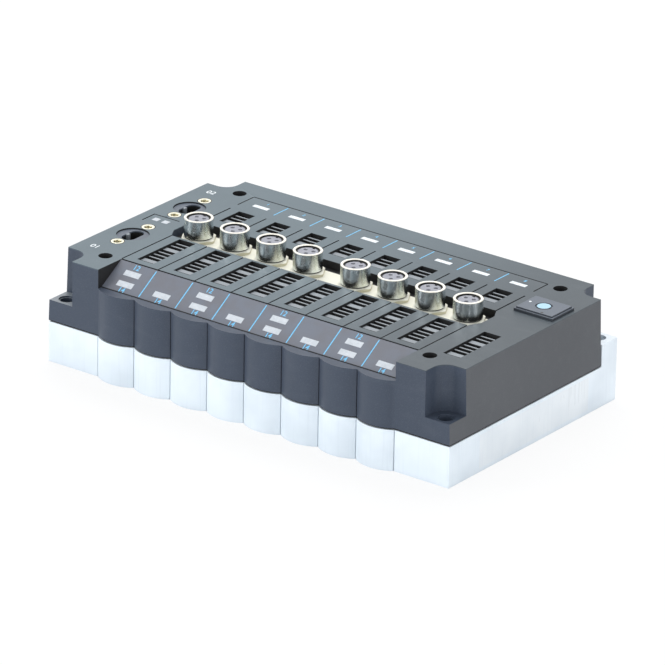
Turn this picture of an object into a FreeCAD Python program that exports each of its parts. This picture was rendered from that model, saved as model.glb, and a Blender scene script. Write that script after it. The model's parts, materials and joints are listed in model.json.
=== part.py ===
import FreeCAD
import Part

import math
import os

import Sketcher

# Pneumatic valve island: eight valve slices clamped between two end plates,
# with a moulded electronics cover on top. Millimetres, +Z up, +X along the
# row of slices, +Y to the rear with the work ports, origin at the centre of
# the footprint on the mounting surface.

doc = FreeCAD.newDocument("ValveIsland")
sheet = doc.addObject("Spreadsheet::Sheet", "Sizes")

# Driving dimensions: alias, value, meaning.
SIZES = [
    ("slice_pitch", 14.0, "spacing of the valve slices"),
    ("slice_gap", 0.3, "gap between slices, filled by the flat seals"),
    ("end_left_width", 19.3, "width of the left end plate beyond the slices"),
    ("end_right_width", 20.1, "width of the right end plate beyond the slices"),
    ("body_depth", 85.9, "cusp line of the noses to the rear face"),
    ("nose_bulge", 2.3, "how far each rounded nose stands out"),
    ("base_height", 13.2, "height of the aluminium base"),
    ("rear_height", 20.4, "height of the raised port block and corner pads"),
    ("port_block_depth", 11.0, "depth of the raised port block on a slice"),
    ("end_block_depth", 16.4, "depth of the raised block on an end plate"),
    ("pad_depth", 8.0, "depth of the corner pad seen beside the cover"),
    ("overall_height", 35.2, "mounting surface to the cover's top"),
    ("seam", 0.4, "thickness of the seal under the cover"),
    ("seal_inset", 0.4, "seal edge behind the cover's outer face"),
    ("seal_breadth", 1.0, "breadth of the seal under the cover"),
    ("cover_wall", 2.0, "wall of the cover"),
    ("cover_roof", 2.6, "thickness of the cover's top"),
    ("cover_draft", 0.8, "lean of the cover's end faces over their height"),
    ("cover_play", 0.15, "play between the cover and the corner pads"),
    ("fold_setback", 11.3, "fold of the label face behind the cusp line"),
    ("label_run", 9.7, "level length of the sloped label face"),
    ("label_drop", 6.2, "height of the sloped label face"),
    ("notch_width", 9.2, "corner notch along X"),
    ("notch_depth", 8.4, "corner notch along Y"),
    ("notch_radius", 4.6, "scoop radius of a corner notch"),
    ("mount_inset_x", 4.2, "mounting hole from the end face"),
    ("mount_inset_y", 3.7, "mounting hole from the front or rear face"),
    ("mount_hole", 4.4, "mounting hole diameter"),
    ("mount_sink", 5.2, "recess round a mounting hole in a foot"),
    ("mount_sink_depth", 0.5, "depth of that recess"),
    ("spool_level", 5.2, "spool axis above the mounting surface"),
    ("spool_bore", 5.6, "diameter of the spool bore"),
    ("spool_play", 0.03, "radial play of a spool"),
    ("spool_neck", 3.2, "diameter of a spool's necks"),
    ("spring_play", 0.4, "radial play of a return spring in its bore"),
    ("duct_width", 5.0, "width of a duct through the slices, along Y"),
    ("duct_height", 4.6, "height of a duct"),
    ("duct_spacing", 15.0, "spacing of the three ducts"),
    ("supply_duct_y", 25.0, "middle duct behind the fold line"),
    ("land_overlap", 1.0, "sealing overlap of a spool land"),
    ("centre_land", 3.25, "length of the middle spool land"),
    ("spool_guide", 8.6, "length of the outer spool lands"),
    ("spool_front_room", 0.9, "air chamber in front of the spool"),
    ("plug_length", 5.0, "length of a bore plug"),
    ("port_bore", 6.0, "bore of a work port"),
    ("port_depth", 7.5, "depth of a work port"),
    ("port_upper_level", 15.0, "height of the upper work port"),
    ("main_port_bore", 8.8, "bore of the supply and exhaust ports"),
    ("main_port_depth", 9.5, "depth of the supply and exhaust ports"),
    ("main_port_level", 5.6, "height of the supply and exhaust ports"),
    ("main_port_offset", 7.0, "main port from the end plate's inner face"),
    ("gallery_bore", 4.0, "gallery between a main port and its duct"),
    ("pilot_port_bore", 4.2, "bore of the pilot air ports"),
    ("pilot_port_depth", 6.0, "depth of the pilot air ports"),
    ("pilot_port_level", 15.6, "height of the pilot air ports"),
    ("tie_bore", 3.2, "hole for a tie screw"),
    ("tie_play", 0.1, "radial play of a tie screw in its hole"),
    ("tie_head", 5.4, "tie screw head diameter"),
    ("tie_head_length", 3.0, "tie screw head length"),
    ("tie_front_y", -2.4, "front tie screw behind the fold line"),
    ("tie_front_level", 3.6, "height of the front tie screw"),
    ("tie_rear_inset", 12.0, "rear tie screw in front of the rear face"),
    ("tie_rear_level", 10.1, "height of the rear tie screw"),
    ("tie_thread", 9.0, "thread of a tie screw in the right end plate"),
    ("tie_head_sink", 0.4, "tie screw head below the left end face"),
    ("drill_reserve", 1.0, "drilled depth beyond a thread"),
    ("seal_rim", 1.6, "rim of a slice seal round the ducts"),
    ("cover_screw_front", 1.2, "front cover screws before the fold line"),
    ("cover_screw_rear_inset", 9.1, "rear cover screws in front of the rear face"),
    ("cover_screw_left", 5.3, "left cover screws beyond the slices"),
    ("cover_screw_right", 4.9, "right cover screws beyond the slices"),
    ("screw_well", 4.4, "well over a cover screw"),
    ("screw_head", 4.1, "cover screw head diameter"),
    ("screw_head_length", 2.0, "cover screw head length"),
    ("screw_seat", 3.0, "thickness under a cover screw head"),
    ("screw_shank", 2.1, "cover screw shank diameter"),
    ("screw_clearance", 2.8, "clearance hole for the shank"),
    ("screw_thread", 6.0, "cover screw thread in an end plate"),
    ("post_radius", 3.9, "radius of a screw post in the cover"),
    ("window_width", 6.2, "width of a louvre window"),
    ("window_centre", 6.9, "window centre from its slice's left line"),
    ("front_window_y", 2.8, "front end of the front windows"),
    ("louvre_sink", 1.5, "depth of the louvres below the top"),
    ("rear_window_y", 43.5, "front end of the rear windows"),
    ("spare_window_x", 9.9, "ninth window beyond the slices"),
    ("thick_louvre", 2.2, "broad louvre of a window"),
    ("thin_louvre", 0.8, "narrow louvre"),
    ("louvre_slit", 1.56, "slit between louvres"),
    ("slot_front_y", 24.6, "front edge of the socket slot"),
    ("slot_rear_y", 39.0, "rear edge of the socket slot"),
    ("slot_overrun", 2.2, "slot beyond the slices at both ends"),
    ("slot_corner", 3.8, "cut corner of the slot along Y"),
    ("slot_corner_across", 2.1, "cut corner of the slot along X"),
    ("carrier_play", 0.25, "play of the carrier in the slot"),
    ("carrier_sink", 2.2, "carrier face below the cover's top"),
    ("carrier_face_depth", 11.45, "carrier face along Y"),
    ("carrier_face_reach", 4.9, "carrier face beyond the outer sockets' axes"),
    ("carrier_flange", 1.6, "thickness of the carrier's flange"),
    ("carrier_lip", 1.4, "flange beyond the slot"),
    ("socket_y", 31.6, "row of the sensor sockets"),
    ("socket_shift", 2.0, "sockets moved outwards from the slice centres"),
    ("socket_diameter", 9.2, "outside of a socket collar"),
    ("socket_height", 5.2, "collar rim above the cover's top"),
    ("socket_bore", 7.6, "bore of a socket collar"),
    ("socket_shank", 8.2, "shank of a socket in the carrier"),
    ("socket_flat", 10.2, "width over the flats of the socket's hexagon"),
    ("socket_hex_height", 2.5, "height of the hexagon"),
    ("socket_shank_length", 5.8, "shank below the carrier's face"),
    ("insert_diameter", 6.9, "contact insert"),
    ("insert_sink", 0.5, "contact insert below the collar rim"),
    ("insert_foot", 4.0, "height of the insert's broad foot"),
    ("board_thickness", 1.6, "circuit board"),
    ("board_depth", 15.0, "circuit board along Y"),
    ("pilot_width", 11.4, "pilot solenoid along X"),
    ("pilot_depth", 15.0, "pilot solenoid along Y"),
    ("pilot_height", 15.4, "pilot solenoid height"),
    ("pilot_front_y", 5.2, "front pilot solenoids behind the fold line"),
    ("pilot_rear_y", 43.0, "rear pilot solenoids behind the fold line"),
    ("armature_diameter", 5.0, "armature"),
    ("armature_play", 0.06, "radial play of an armature"),
    ("armature_length", 8.0, "armature"),
    ("armature_stroke", 0.6, "lift of an armature"),
    ("armature_reserve", 0.3, "air left above a lifted armature"),
    ("leaf_width", 3.0, "leaf spring over an armature along X"),
    ("leaf_depth", 1.4, "leaf spring over an armature along Y"),
    ("cable_socket_x", 9.9, "cable sockets beyond the slices"),
    ("cable_socket_front", 17.9, "front cable socket"),
    ("cable_socket_rear", 46.1, "rear cable socket"),
    ("cable_socket_width", 4.5, "mouth of a cable socket along X"),
    ("cable_socket_length", 8.4, "mouth of a cable socket along Y"),
    ("cable_socket_disc", 10.3, "round face of a cable socket"),
    ("cable_socket_body", 7.0, "body below the cover's top"),
    ("cable_mouth_depth", 5.2, "depth of the mouth"),
    ("cable_face_sink", 0.45, "round face below the cover's top"),
    ("contact_width", 0.8, "flat contact in a cable socket"),
    ("contact_height", 3.6, "height of such a contact"),
    ("insert_pitch", 15.1, "spacing of a socket's threaded inserts"),
    ("brass_diameter", 4.3, "threaded insert"),
    ("brass_bore", 2.5, "bore of a threaded insert"),
    ("brass_length", 4.4, "length of a threaded insert"),
    ("brass_boss", 1.2, "plastic round a threaded insert"),
    ("lamp_width", 4.9, "lamp window on the label face along X"),
    ("lamp_breadth", 1.7, "lamp window on the label face down the slope"),
    ("lamp_lower", 8.3, "lower lamp windows down the slope"),
    ("lamp_upper", 4.2, "upper lamp windows down the slope"),
    ("lamp_depth", 1.6, "thickness of a lamp window"),
    ("rear_lamp_width", 5.9, "rear lamp window along X"),
    ("rear_lamp_breadth", 1.9, "rear lamp window along Y"),
    ("rear_lamp_y", 59.5, "front edge of the rear lamp windows"),
    ("status_lamp_y", 31.9, "status lamps on the left"),
    ("status_lamp_size", 1.7, "status lamps along X and Y"),
    ("status_lamp_first", 11.8, "outer status lamp beyond the slices"),
    ("status_lamp_second", 8.1, "inner status lamp beyond the slices"),
    ("cap_left", 3.8, "interface cap beyond the slices"),
    ("cap_front", 42.6, "front edge of the interface cap"),
    ("cap_width", 14.2, "interface cap along X"),
    ("cap_depth", 11.5, "interface cap along Y"),
    ("cap_proud", 1.4, "cap above the cover's top"),
    ("cap_step", 0.5, "step round the cap's top"),
    ("cap_seat", 1.0, "cap seat in the cover"),
    ("cap_disc", 4.4, "disc in the cap"),
    ("cap_ring", 0.4, "breadth of the groove round the disc"),
    ("cap_disc_sink", 0.4, "depth of that groove"),
]
SLICES = 8

VALUES = {}
for line, (alias, value, meaning) in enumerate(SIZES, start=1):
    sheet.set(f"A{line}", meaning)
    sheet.set(f"B{line}", str(value))
    sheet.setAlias(f"B{line}", alias)
    VALUES[alias] = value
doc.recompute()


class Size:
    """A length that keeps both its value and the sheet expression behind it."""

    def __init__(self, value, text):
        self.value = value
        self.text = text

    def _join(self, other, sign, value):
        return Size(value, f"({self.text} {sign} {as_size(other).text})")

    def __add__(self, other):
        return self._join(other, "+", self.value + as_size(other).value)

    def __radd__(self, other):
        return as_size(other) + self

    def __sub__(self, other):
        return self._join(other, "-", self.value - as_size(other).value)

    def __rsub__(self, other):
        return as_size(other) - self

    def __mul__(self, other):
        return self._join(other, "*", self.value * as_size(other).value)

    def __rmul__(self, other):
        return as_size(other) * self

    def __truediv__(self, other):
        return self._join(other, "/", self.value / as_size(other).value)

    def __neg__(self):
        return Size(-self.value, f"(0 - {self.text})")

    def root(self):
        return Size(math.sqrt(self.value), f"sqrt({self.text})")


def as_size(number):
    if isinstance(number, Size):
        return number
    return Size(float(number), repr(float(number)))


def s(alias):
    return Size(VALUES[alias], f"Sizes.{alias}")


def bind(obj, prop, size):
    """Bind one property of an object to a size."""
    size = as_size(size)
    if "Sizes." in size.text:
        obj.setExpression(prop, size.text)
    else:
        obj.setExpression(prop, repr(size.value))


def put(obj, x=0, y=0, z=0):
    """Bind an object's place."""
    for axis, size in zip("xyz", (x, y, z)):
        bind(obj, f"Placement.Base.{axis}", size)
    return obj


# Shared lines of the layout, measured from the left line of slice 1 and from
# the fold line where the flat top meets the sloped label face.
pitch = s("slice_pitch")
row = pitch * SLICES
front = -s("fold_setback")
rear = s("body_depth") - s("fold_setback")
left = -s("end_left_width")
right = row + s("end_right_width")
base_z = s("base_height")
raised_z = s("rear_height")
top_z = s("overall_height")
half_gap = s("slice_gap") / 2

# The frame's origin in the layout: middle of the footprint.
origin_x = (s("end_left_width") + row + s("end_right_width")) / 2 - s("end_left_width")
origin_y = (s("body_depth") + s("nose_bulge")) / 2 - s("fold_setback") - s("nose_bulge")

NODES = []


def node(obj, label, x=0, y=0, z=0):
    """Name a sub-part and put its local origin at a point of the layout."""
    obj.Label = label
    put(obj, as_size(x) - origin_x, as_size(y) - origin_y, z)
    NODES.append(obj)
    return obj


# Solids from primitives.
def box(x, y, z, low=(0, 0, 0), name="Block"):
    """A block with its low corner at a point."""
    obj = doc.addObject("Part::Box", name)
    bind(obj, "Length", x)
    bind(obj, "Width", y)
    bind(obj, "Height", z)
    return put(obj, *low)


def rod(diameter, length, at=(0, 0, 0), axis="z", name="Rod"):
    """A round bar along an axis, starting at a point."""
    obj = doc.addObject("Part::Cylinder", name)
    bind(obj, "Radius", as_size(diameter) / 2)
    bind(obj, "Height", length)
    turns = {
        "z": FreeCAD.Rotation(),
        "x": FreeCAD.Rotation(FreeCAD.Vector(0, 1, 0), 90),
        "y": FreeCAD.Rotation(FreeCAD.Vector(1, 0, 0), -90),
    }
    obj.Placement = FreeCAD.Placement(FreeCAD.Vector(), turns[axis])
    return put(obj, *at)


def fuse(parts, name="Fusion"):
    obj = doc.addObject("Part::MultiFuse", name)
    obj.Shapes = parts
    return obj


def cut(base, tools, name="Difference"):
    obj = doc.addObject("Part::Cut", name)
    obj.Base = base
    obj.Tool = tools[0] if len(tools) == 1 else fuse(tools)
    return obj


def group(parts, name):
    obj = doc.addObject("Part::Compound", name)
    obj.Links = parts
    return obj


# Bodies from sketches and features.
CUTS = []


def body(name):
    return doc.addObject("PartDesign::Body", name)


def origin_feature(owner, role):
    return next(f for f in owner.Origin.OriginFeatures if f.Role == role)


def sketch(owner, plane, name, offset=None):
    """A sketch on one of the body's own planes, moved along its normal."""
    obj = owner.newObject("Sketcher::SketchObject", name)
    obj.AttachmentSupport = [(origin_feature(owner, plane), "")]
    obj.MapMode = "FlatFace"
    if offset is not None:
        bind(obj, "AttachmentOffset.Base.z", offset)
    return obj


def point(size_x, size_y):
    return FreeCAD.Vector(as_size(size_x).value, as_size(size_y).value, 0)


def pin_down(sk, geometry, end, x, y):
    """Fix a sketch point by its distances from the sketch's origin."""
    for kind, size in (("DistanceX", x), ("DistanceY", y)):
        size = as_size(size)
        index = sk.addConstraint(Sketcher.Constraint(kind, -1, 1, geometry, end, size.value))
        bind(sk, f"Constraints[{index}]", size)


def outline(sk, corners):
    """A closed outline of lines and arcs.

    A corner is (x, y) before a line. Before an arc it is (x, y, bulge, hold): the
    arc passes the point bulge, and hold is its radius, or for a half circle
    ("level", the height of its centre).
    """
    first = sk.GeometryCount
    count = len(corners)
    starts = []
    for index, corner in enumerate(corners):
        following = corners[(index + 1) % count]
        begin = point(corner[0], corner[1])
        end = point(following[0], following[1])
        if len(corner) == 2:
            sk.addGeometry(Part.LineSegment(begin, end), False)
            starts.append(1)
            continue
        bulge = point(*corner[2])
        turn = (bulge - begin).cross(end - bulge).z
        ring = Part.Arc(begin, bulge, end).toShape().Curve
        centre = ring.Center
        low, high = (begin, end) if turn > 0 else (end, begin)
        angle_low = math.atan2(low.y - centre.y, low.x - centre.x)
        angle_high = math.atan2(high.y - centre.y, high.x - centre.x)
        if angle_high <= angle_low:
            angle_high += 2 * math.pi
        base = Part.Circle(centre, FreeCAD.Vector(0, 0, 1), ring.Radius)
        sk.addGeometry(Part.ArcOfCircle(base, angle_low, angle_high), False)
        starts.append(1 if turn > 0 else 2)
    for index, corner in enumerate(corners):
        here = first + index
        previous = (index - 1) % count
        pin_down(sk, here, starts[index], corner[0], corner[1])
        joined = (first + previous, 3 - starts[previous], here, starts[index])
        sk.addConstraint(Sketcher.Constraint("Coincident", *joined))
        if len(corner) == 2:
            continue
        if isinstance(corner[3], tuple):
            held = as_size(corner[3][1])
            constraint = Sketcher.Constraint("DistanceY", -1, 1, here, 3, held.value)
        else:
            held = as_size(corner[3])
            constraint = Sketcher.Constraint("Radius", here, held.value)
        bind(sk, f"Constraints[{sk.addConstraint(constraint)}]", held)


def circle(sk, diameter, x, y):
    radius = as_size(diameter) / 2
    item = sk.addGeometry(Part.Circle(point(x, y), FreeCAD.Vector(0, 0, 1), radius.value), False)
    index = sk.addConstraint(Sketcher.Constraint("Radius", item, radius.value))
    bind(sk, f"Constraints[{index}]", radius)
    pin_down(sk, item, 3, x, y)


def rectangle(sk, x0, y0, x1, y1):
    outline(sk, [(x0, y0), (x1, y0), (x1, y1), (x0, y1)])


def pad(owner, sk, length, name="Pad", back=False):
    obj = owner.newObject("PartDesign::Pad", name)
    obj.Profile = sk
    bind(obj, "Length", length)
    obj.Reversed = back
    sk.Visibility = False
    return obj


def pocket(owner, sk, length, name="Pocket", ahead=False):
    """Cut a sketch into the body: against its plane's normal, or along it."""
    obj = owner.newObject("PartDesign::Pocket", name)
    obj.Profile = sk
    bind(obj, "Length", length)
    obj.Reversed = ahead
    CUTS.append(obj)
    return obj


def repeat(owner, feature, spacing, copies, name="Row"):
    """Repeat a feature along X."""
    obj = owner.newObject("PartDesign::LinearPattern", name)
    obj.Originals = [feature]
    obj.Direction = (origin_feature(owner, "X_Axis"), [""])
    bind(obj, "Length", as_size(spacing) * (copies - 1))
    obj.Occurrences = copies
    owner.Tip = obj
    return obj


def nose_corners(first_x, y, copies):
    """Outline corners of rounded noses: one arc per slice."""
    half = pitch / 2
    bulge = s("nose_bulge")
    radius = (half * half + bulge * bulge) / (bulge * 2)
    corners = []
    for index in range(copies):
        x = as_size(first_x) + pitch * index
        corners.append((x, y, (x + half, as_size(y) - bulge), radius))
    return corners


# The valve slices: rounded nose, raised port block at the rear, a spool bore
# drilled from the rear through the lower work port, three ducts crossing it
# and two holes for the tie screws.
spool_z = s("spool_level")
supply = s("supply_duct_y")
duct_half = s("duct_width") / 2
exhaust_front = supply - s("duct_spacing")
exhaust_rear = supply + s("duct_spacing")
travel = s("duct_width") + s("land_overlap") * 2 - s("centre_land")
front_land_end = exhaust_front + duct_half + s("land_overlap") - travel
centre_start = supply - duct_half - s("land_overlap")
rear_land_start = exhaust_rear - duct_half - s("land_overlap")
spool_start = front_land_end - s("spool_guide")
spool_end = rear_land_start + s("spool_guide")
bore_end = spool_start - s("spool_front_room")
plug_start = rear - s("port_depth") - s("plug_length")
tie_points = [
    (s("tie_front_y"), s("tie_front_level")),
    (rear - s("tie_rear_inset"), s("tie_rear_level")),
]
middle = pitch / 2


def valve_slice(number):
    item = body(f"ValveSlice{number}")
    width = pitch - s("slice_gap")
    plan = sketch(item, "XY_Plane", "SlicePlan")
    bulge = s("nose_bulge")
    half = pitch / 2
    radius = (half * half + bulge * bulge) / (bulge * 2)
    # The nose keeps the row's arc, so the cut side faces start a little in.
    short = half - half_gap
    drop = (radius * radius - short * short).root() - (radius - bulge)
    outline(
        plan,
        [
            (half_gap, front - drop, (half, front - bulge), radius),
            (half_gap + width, front - drop),
            (half_gap + width, rear),
            (half_gap, rear),
        ],
    )
    pad(item, plan, base_z, "SliceBase")
    block = sketch(item, "XY_Plane", "PortBlockPlan", base_z)
    rectangle(block, half_gap, rear - s("port_block_depth"), half_gap + width, rear)
    pad(item, block, raised_z - base_z, "PortBlock")
    bore = sketch(item, "XZ_Plane", "BoreSection", -rear)
    circle(bore, s("spool_bore"), middle, spool_z)
    pocket(item, bore, rear - bore_end, "SpoolBore", ahead=True)
    ports = sketch(item, "XZ_Plane", "PortSection", -rear)
    circle(ports, s("port_bore"), middle, spool_z)
    circle(ports, s("port_bore"), middle, s("port_upper_level"))
    pocket(item, ports, s("port_depth"), "WorkPorts", ahead=True)
    ducts = sketch(item, "YZ_Plane", "DuctSection")
    low = spool_z - s("duct_height") / 2
    high = spool_z + s("duct_height") / 2
    for y in (exhaust_front, supply, exhaust_rear):
        rectangle(ducts, y - duct_half, low, y + duct_half, high)
    pocket(item, ducts, pitch, "Ducts", ahead=True)
    ties = sketch(item, "YZ_Plane", "TieSection")
    for y, z in tie_points:
        circle(ties, s("tie_bore"), y, z)
    pocket(item, ties, pitch, "TieHoles", ahead=True)
    return node(item, f"valve_slice_{number}", pitch * (number - 1))


def spool(number):
    """A turned spool with three lands and two necks."""
    item = body(f"Spool{number}")
    profile = sketch(item, "YZ_Plane", "SpoolProfile")
    land = s("spool_bore") / 2 - s("spool_play")
    neck = s("spool_neck") / 2
    steps = [
        (0, land),
        (front_land_end - spool_start, neck),
        (centre_start - spool_start, land),
        (centre_start + s("centre_land") - spool_start, neck),
        (rear_land_start - spool_start, land),
        (spool_end - spool_start, None),
    ]
    corners = [(0, 0)]
    for (y, radius), (y_next, _) in zip(steps, steps[1:]):
        corners += [(y, radius), (y_next, radius)]
    corners.append((steps[-1][0], 0))
    outline(profile, corners)
    turn = item.newObject("PartDesign::Revolution", "SpoolTurning")
    turn.Profile = profile
    turn.ReferenceAxis = (profile, ["H_Axis"])
    turn.Angle = 360
    return node(item, f"spool_{number}", pitch * (number - 1) + middle, spool_start, spool_z)


for number in range(1, SLICES + 1):
    valve_slice(number)
for number in range(1, SLICES + 1):
    spool(number)

# Plugs close the spool bores behind the lower work ports.
plugs = [
    rod(s("spool_bore"), s("plug_length"), (pitch * index + middle, 0, 0), "y", "BorePlug")
    for index in range(SLICES)
]
node(group(plugs, "BorePlugs"), "bore_plugs", 0, plug_start, spool_z)

# Return springs of the even slices, each in the outline of its coils.
for number in range(2, SLICES + 1, 2):
    coil = rod(
        s("spool_bore") - s("spring_play") * 2,
        plug_start - spool_end,
        (0, 0, 0),
        "y",
        "ReturnSpring",
    )
    node(coil, f"return_spring_{number}", pitch * (number - 1) + middle, spool_end, spool_z)

# Flat seals with three windows between the slices.
seal_low = spool_z - s("duct_height") / 2
seal_high = spool_z + s("duct_height") / 2
seals = []
for index in range(SLICES + 1):
    rim = s("seal_rim")
    sheet_part = box(
        s("slice_gap"),
        exhaust_rear - exhaust_front + s("duct_width") + rim * 2,
        s("duct_height") + rim * 2,
        (pitch * index - half_gap, exhaust_front - duct_half - rim, seal_low - rim),
        "SealSheet",
    )
    windows = [
        box(
            s("slice_gap") + 2,
            s("duct_width"),
            s("duct_height"),
            (pitch * index - half_gap - 1, y - duct_half, seal_low),
            "SealWindow",
        )
        for y in (exhaust_front, supply, exhaust_rear)
    ]
    seals.append(cut(sheet_part, windows, "SliceSeal"))
node(group(seals, "SliceSeals"), "slice_seals")


def end_plate(side):
    """End plate with corner pad, raised rear block, ports and screw holes.

    side is -1 for the left plate and 1 for the right one. Its X positions run
    outwards from the plate's inner face.
    """
    name = "Left" if side < 0 else "Right"
    width = s("end_left_width") if side < 0 else s("end_right_width")
    item = body(f"EndPlate{name}")

    def out(distance):
        return as_size(distance) * side

    inner = half_gap
    plan = sketch(item, "XY_Plane", "PlatePlan")
    rectangle(plan, out(inner), front, out(width), rear)
    pad(item, plan, base_z, "PlateBase")
    block = sketch(item, "XY_Plane", "PlateBlockPlan", base_z)
    shoulder = width - s("cover_wall") - s("cover_draft") - s("cover_play")
    pad_front = rear - s("pad_depth")
    block_front = rear - s("end_block_depth")
    outline(
        block,
        [
            (out(inner), block_front),
            (out(inner), rear),
            (out(width), rear),
            (out(width), pad_front),
            (out(shoulder), pad_front),
            (out(shoulder), block_front),
        ],
    )
    pad(item, block, raised_z - base_z, "PlateBlock")
    mounts = sketch(item, "XY_Plane", "MountHoles")
    hole_x = out(width - s("mount_inset_x"))
    for y in (front + s("mount_inset_y"), rear - s("mount_inset_y")):
        circle(mounts, s("mount_hole"), hole_x, y)
    pocket(item, mounts, raised_z + 1, "MountDrilling", ahead=True)
    screw_out = s("cover_screw_left") if side < 0 else s("cover_screw_right")
    thread = s("screw_shank")
    front_screw = sketch(item, "XY_Plane", "FrontScrewHole", base_z)
    circle(front_screw, thread, out(screw_out), -s("cover_screw_front"))
    pocket(item, front_screw, s("screw_thread") + s("drill_reserve"), "FrontScrewDrilling")
    rear_screw = sketch(item, "XY_Plane", "RearScrewHole", raised_z)
    circle(rear_screw, thread, out(screw_out), rear - s("cover_screw_rear_inset"))
    pocket(item, rear_screw, s("screw_thread") + s("drill_reserve"), "RearScrewDrilling")
    port = sketch(item, "XZ_Plane", "MainPortSection", -rear)
    circle(port, s("main_port_bore"), out(s("main_port_offset")), s("main_port_level"))
    pocket(item, port, s("main_port_depth"), "MainPort", ahead=True)
    pilot = sketch(item, "XZ_Plane", "PilotPortSection", -rear)
    circle(pilot, s("pilot_port_bore"), out(s("main_port_offset")), s("pilot_port_level"))
    pocket(item, pilot, s("pilot_port_depth"), "PilotPort", ahead=True)
    gallery = sketch(item, "XZ_Plane", "GallerySection", -rear)
    circle(gallery, s("gallery_bore"), out(s("main_port_offset")), s("main_port_level"))
    reach = supply if side < 0 else exhaust_front
    pocket(item, gallery, rear - reach, "Gallery", ahead=True)
    ducts = sketch(item, "YZ_Plane", "PlateDuctSection", out(inner))
    low = spool_z - s("duct_height") / 2
    high = spool_z + s("duct_height") / 2
    for y in [supply] if side < 0 else [exhaust_front, exhaust_rear]:
        rectangle(ducts, y - duct_half, low, y + duct_half, high)
    duct_reach = s("main_port_offset") + s("gallery_bore") / 2
    pocket(item, ducts, duct_reach, "PlateDucts", ahead=side > 0)
    ties = sketch(item, "YZ_Plane", "PlateTieSection", out(inner))
    for y, z in tie_points:
        bore = s("tie_bore") if side < 0 else s("tie_bore") - s("tie_play") * 2
        circle(ties, bore, y, z)
    depth = width if side < 0 else s("tie_thread") + s("drill_reserve")
    pocket(item, ties, depth, "PlateTieHoles", ahead=side > 0)
    if side < 0:
        wells = sketch(item, "YZ_Plane", "TieHeadWells", out(width))
        for y, z in tie_points:
            circle(wells, s("tie_head") + s("tie_play") * 2, y, z)
        pocket(item, wells, s("tie_head_length") + s("tie_head_sink"), "TieHeadSinks", ahead=True)
    return item


node(end_plate(-1), "end_plate_left")
node(end_plate(1), "end_plate_right", row)

# Tie screws from the left end plate into the right one.
ties = []
for y, z in tie_points:
    sunk = left + s("tie_head_sink")
    shank_d = s("tie_bore") - s("tie_play") * 2
    head = rod(s("tie_head"), s("tie_head_length"), (sunk, y, z), "x", "TieHead")
    shank = rod(
        shank_d,
        row + half_gap + s("tie_thread") - sunk - s("tie_head_length"),
        (sunk + s("tie_head_length"), y, z),
        "x",
        "TieShank",
    )
    ties.append(fuse([head, shank], "TieScrew"))
node(group(ties, "TieScrews"), "tie_screws")

# Pilot solenoids on the slices: one per slice at the front, and a second one
# at the rear of every odd slice. Each is an overmoulded coil and yoke with a
# blind armature guide that opens downwards.
armature_room = s("armature_length") + s("armature_stroke") + s("armature_reserve")


def pilot_places():
    for index in range(SLICES):
        yield f"14_{index + 1}", index, s("pilot_front_y")
    for index in range(0, SLICES, 2):
        yield f"12_{index + 1}", index, s("pilot_rear_y")


solenoids = []
leaf_springs = []
for name, index, y in pilot_places():
    centre_x = pitch * index + middle
    centre_y = y + s("pilot_depth") / 2
    shell = box(
        s("pilot_width"),
        s("pilot_depth"),
        s("pilot_height"),
        (centre_x - s("pilot_width") / 2, y, base_z),
        "SolenoidBlock",
    )
    guide = rod(
        s("armature_diameter") + s("armature_play") * 2,
        armature_room + 1,
        (centre_x, centre_y, base_z - 1),
        "z",
        "ArmatureGuide",
    )
    solenoids.append(cut(shell, [guide], "PilotSolenoid"))
    armature = rod(s("armature_diameter"), s("armature_length"), name="Armature")
    node(armature, f"armature_{name}", centre_x, centre_y, base_z)
    leaf = s("armature_stroke") + s("armature_reserve")
    leaf_springs.append(
        box(
            s("leaf_width"),
            s("leaf_depth"),
            leaf,
            (
                centre_x - s("leaf_width") / 2,
                centre_y - s("leaf_depth") / 2,
                base_z + s("armature_length"),
            ),
            "LeafSpring",
        )
    )
node(group(solenoids, "PilotSolenoids"), "pilot_solenoids")
node(group(leaf_springs, "ArmatureSprings"), "armature_springs")

# The cover. Its local origin lies on its bottom edge plane, on the fold line
# and on the left line of slice 1.
cover_z = base_z + s("seam")
height = top_z - cover_z
foot_z = raised_z - cover_z
wall = s("cover_wall")
roof_z = height - s("cover_roof")
cover = body("Cover")

plan = sketch(cover, "XY_Plane", "CoverPlan")
outline(
    plan,
    [(left, front)]
    + nose_corners(0, front, SLICES)
    + [(row, front), (right, front), (right, rear), (left, rear)],
)
pad(cover, plan, height, "CoverBlock")

# End faces lean inwards towards the top.
for side, edge, name in ((-1, left, "Left"), (1, right, "Right")):
    lean = sketch(cover, "XZ_Plane", f"Lean{name}", -rear - 1)
    outline(
        lean,
        [
            (edge, 0),
            (edge - s("cover_draft") * side, height),
            (edge + side, height),
            (edge + side, 0),
        ],
    )
    pocket(cover, lean, s("body_depth") + 2, f"LeanCut{name}", ahead=True)

# Sloped label face with the level crescents of the noses below it.
slope = sketch(cover, "YZ_Plane", "LabelSlope")
label_y = -s("label_run")
label_z = height - s("label_drop")
outline(
    slope,
    [
        (0, height),
        (label_y, label_z),
        (front - s("nose_bulge") - 1, label_z),
        (front - s("nose_bulge") - 1, height + 1),
        (0, height + 1),
    ],
)
pocket(cover, slope, row, "LabelFace", ahead=True)

# Rear edge above the raised blocks, on its own strip of seal, and room beside
# the end plates' blocks.
step_z = foot_z + s("seam")
step = sketch(cover, "YZ_Plane", "RearStep", left - 1)
rectangle(step, rear - s("pad_depth") - s("cover_play"), -1, rear + 1, step_z)
pocket(cover, step, right - left + 2, "RearStepCut", ahead=True)

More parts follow.
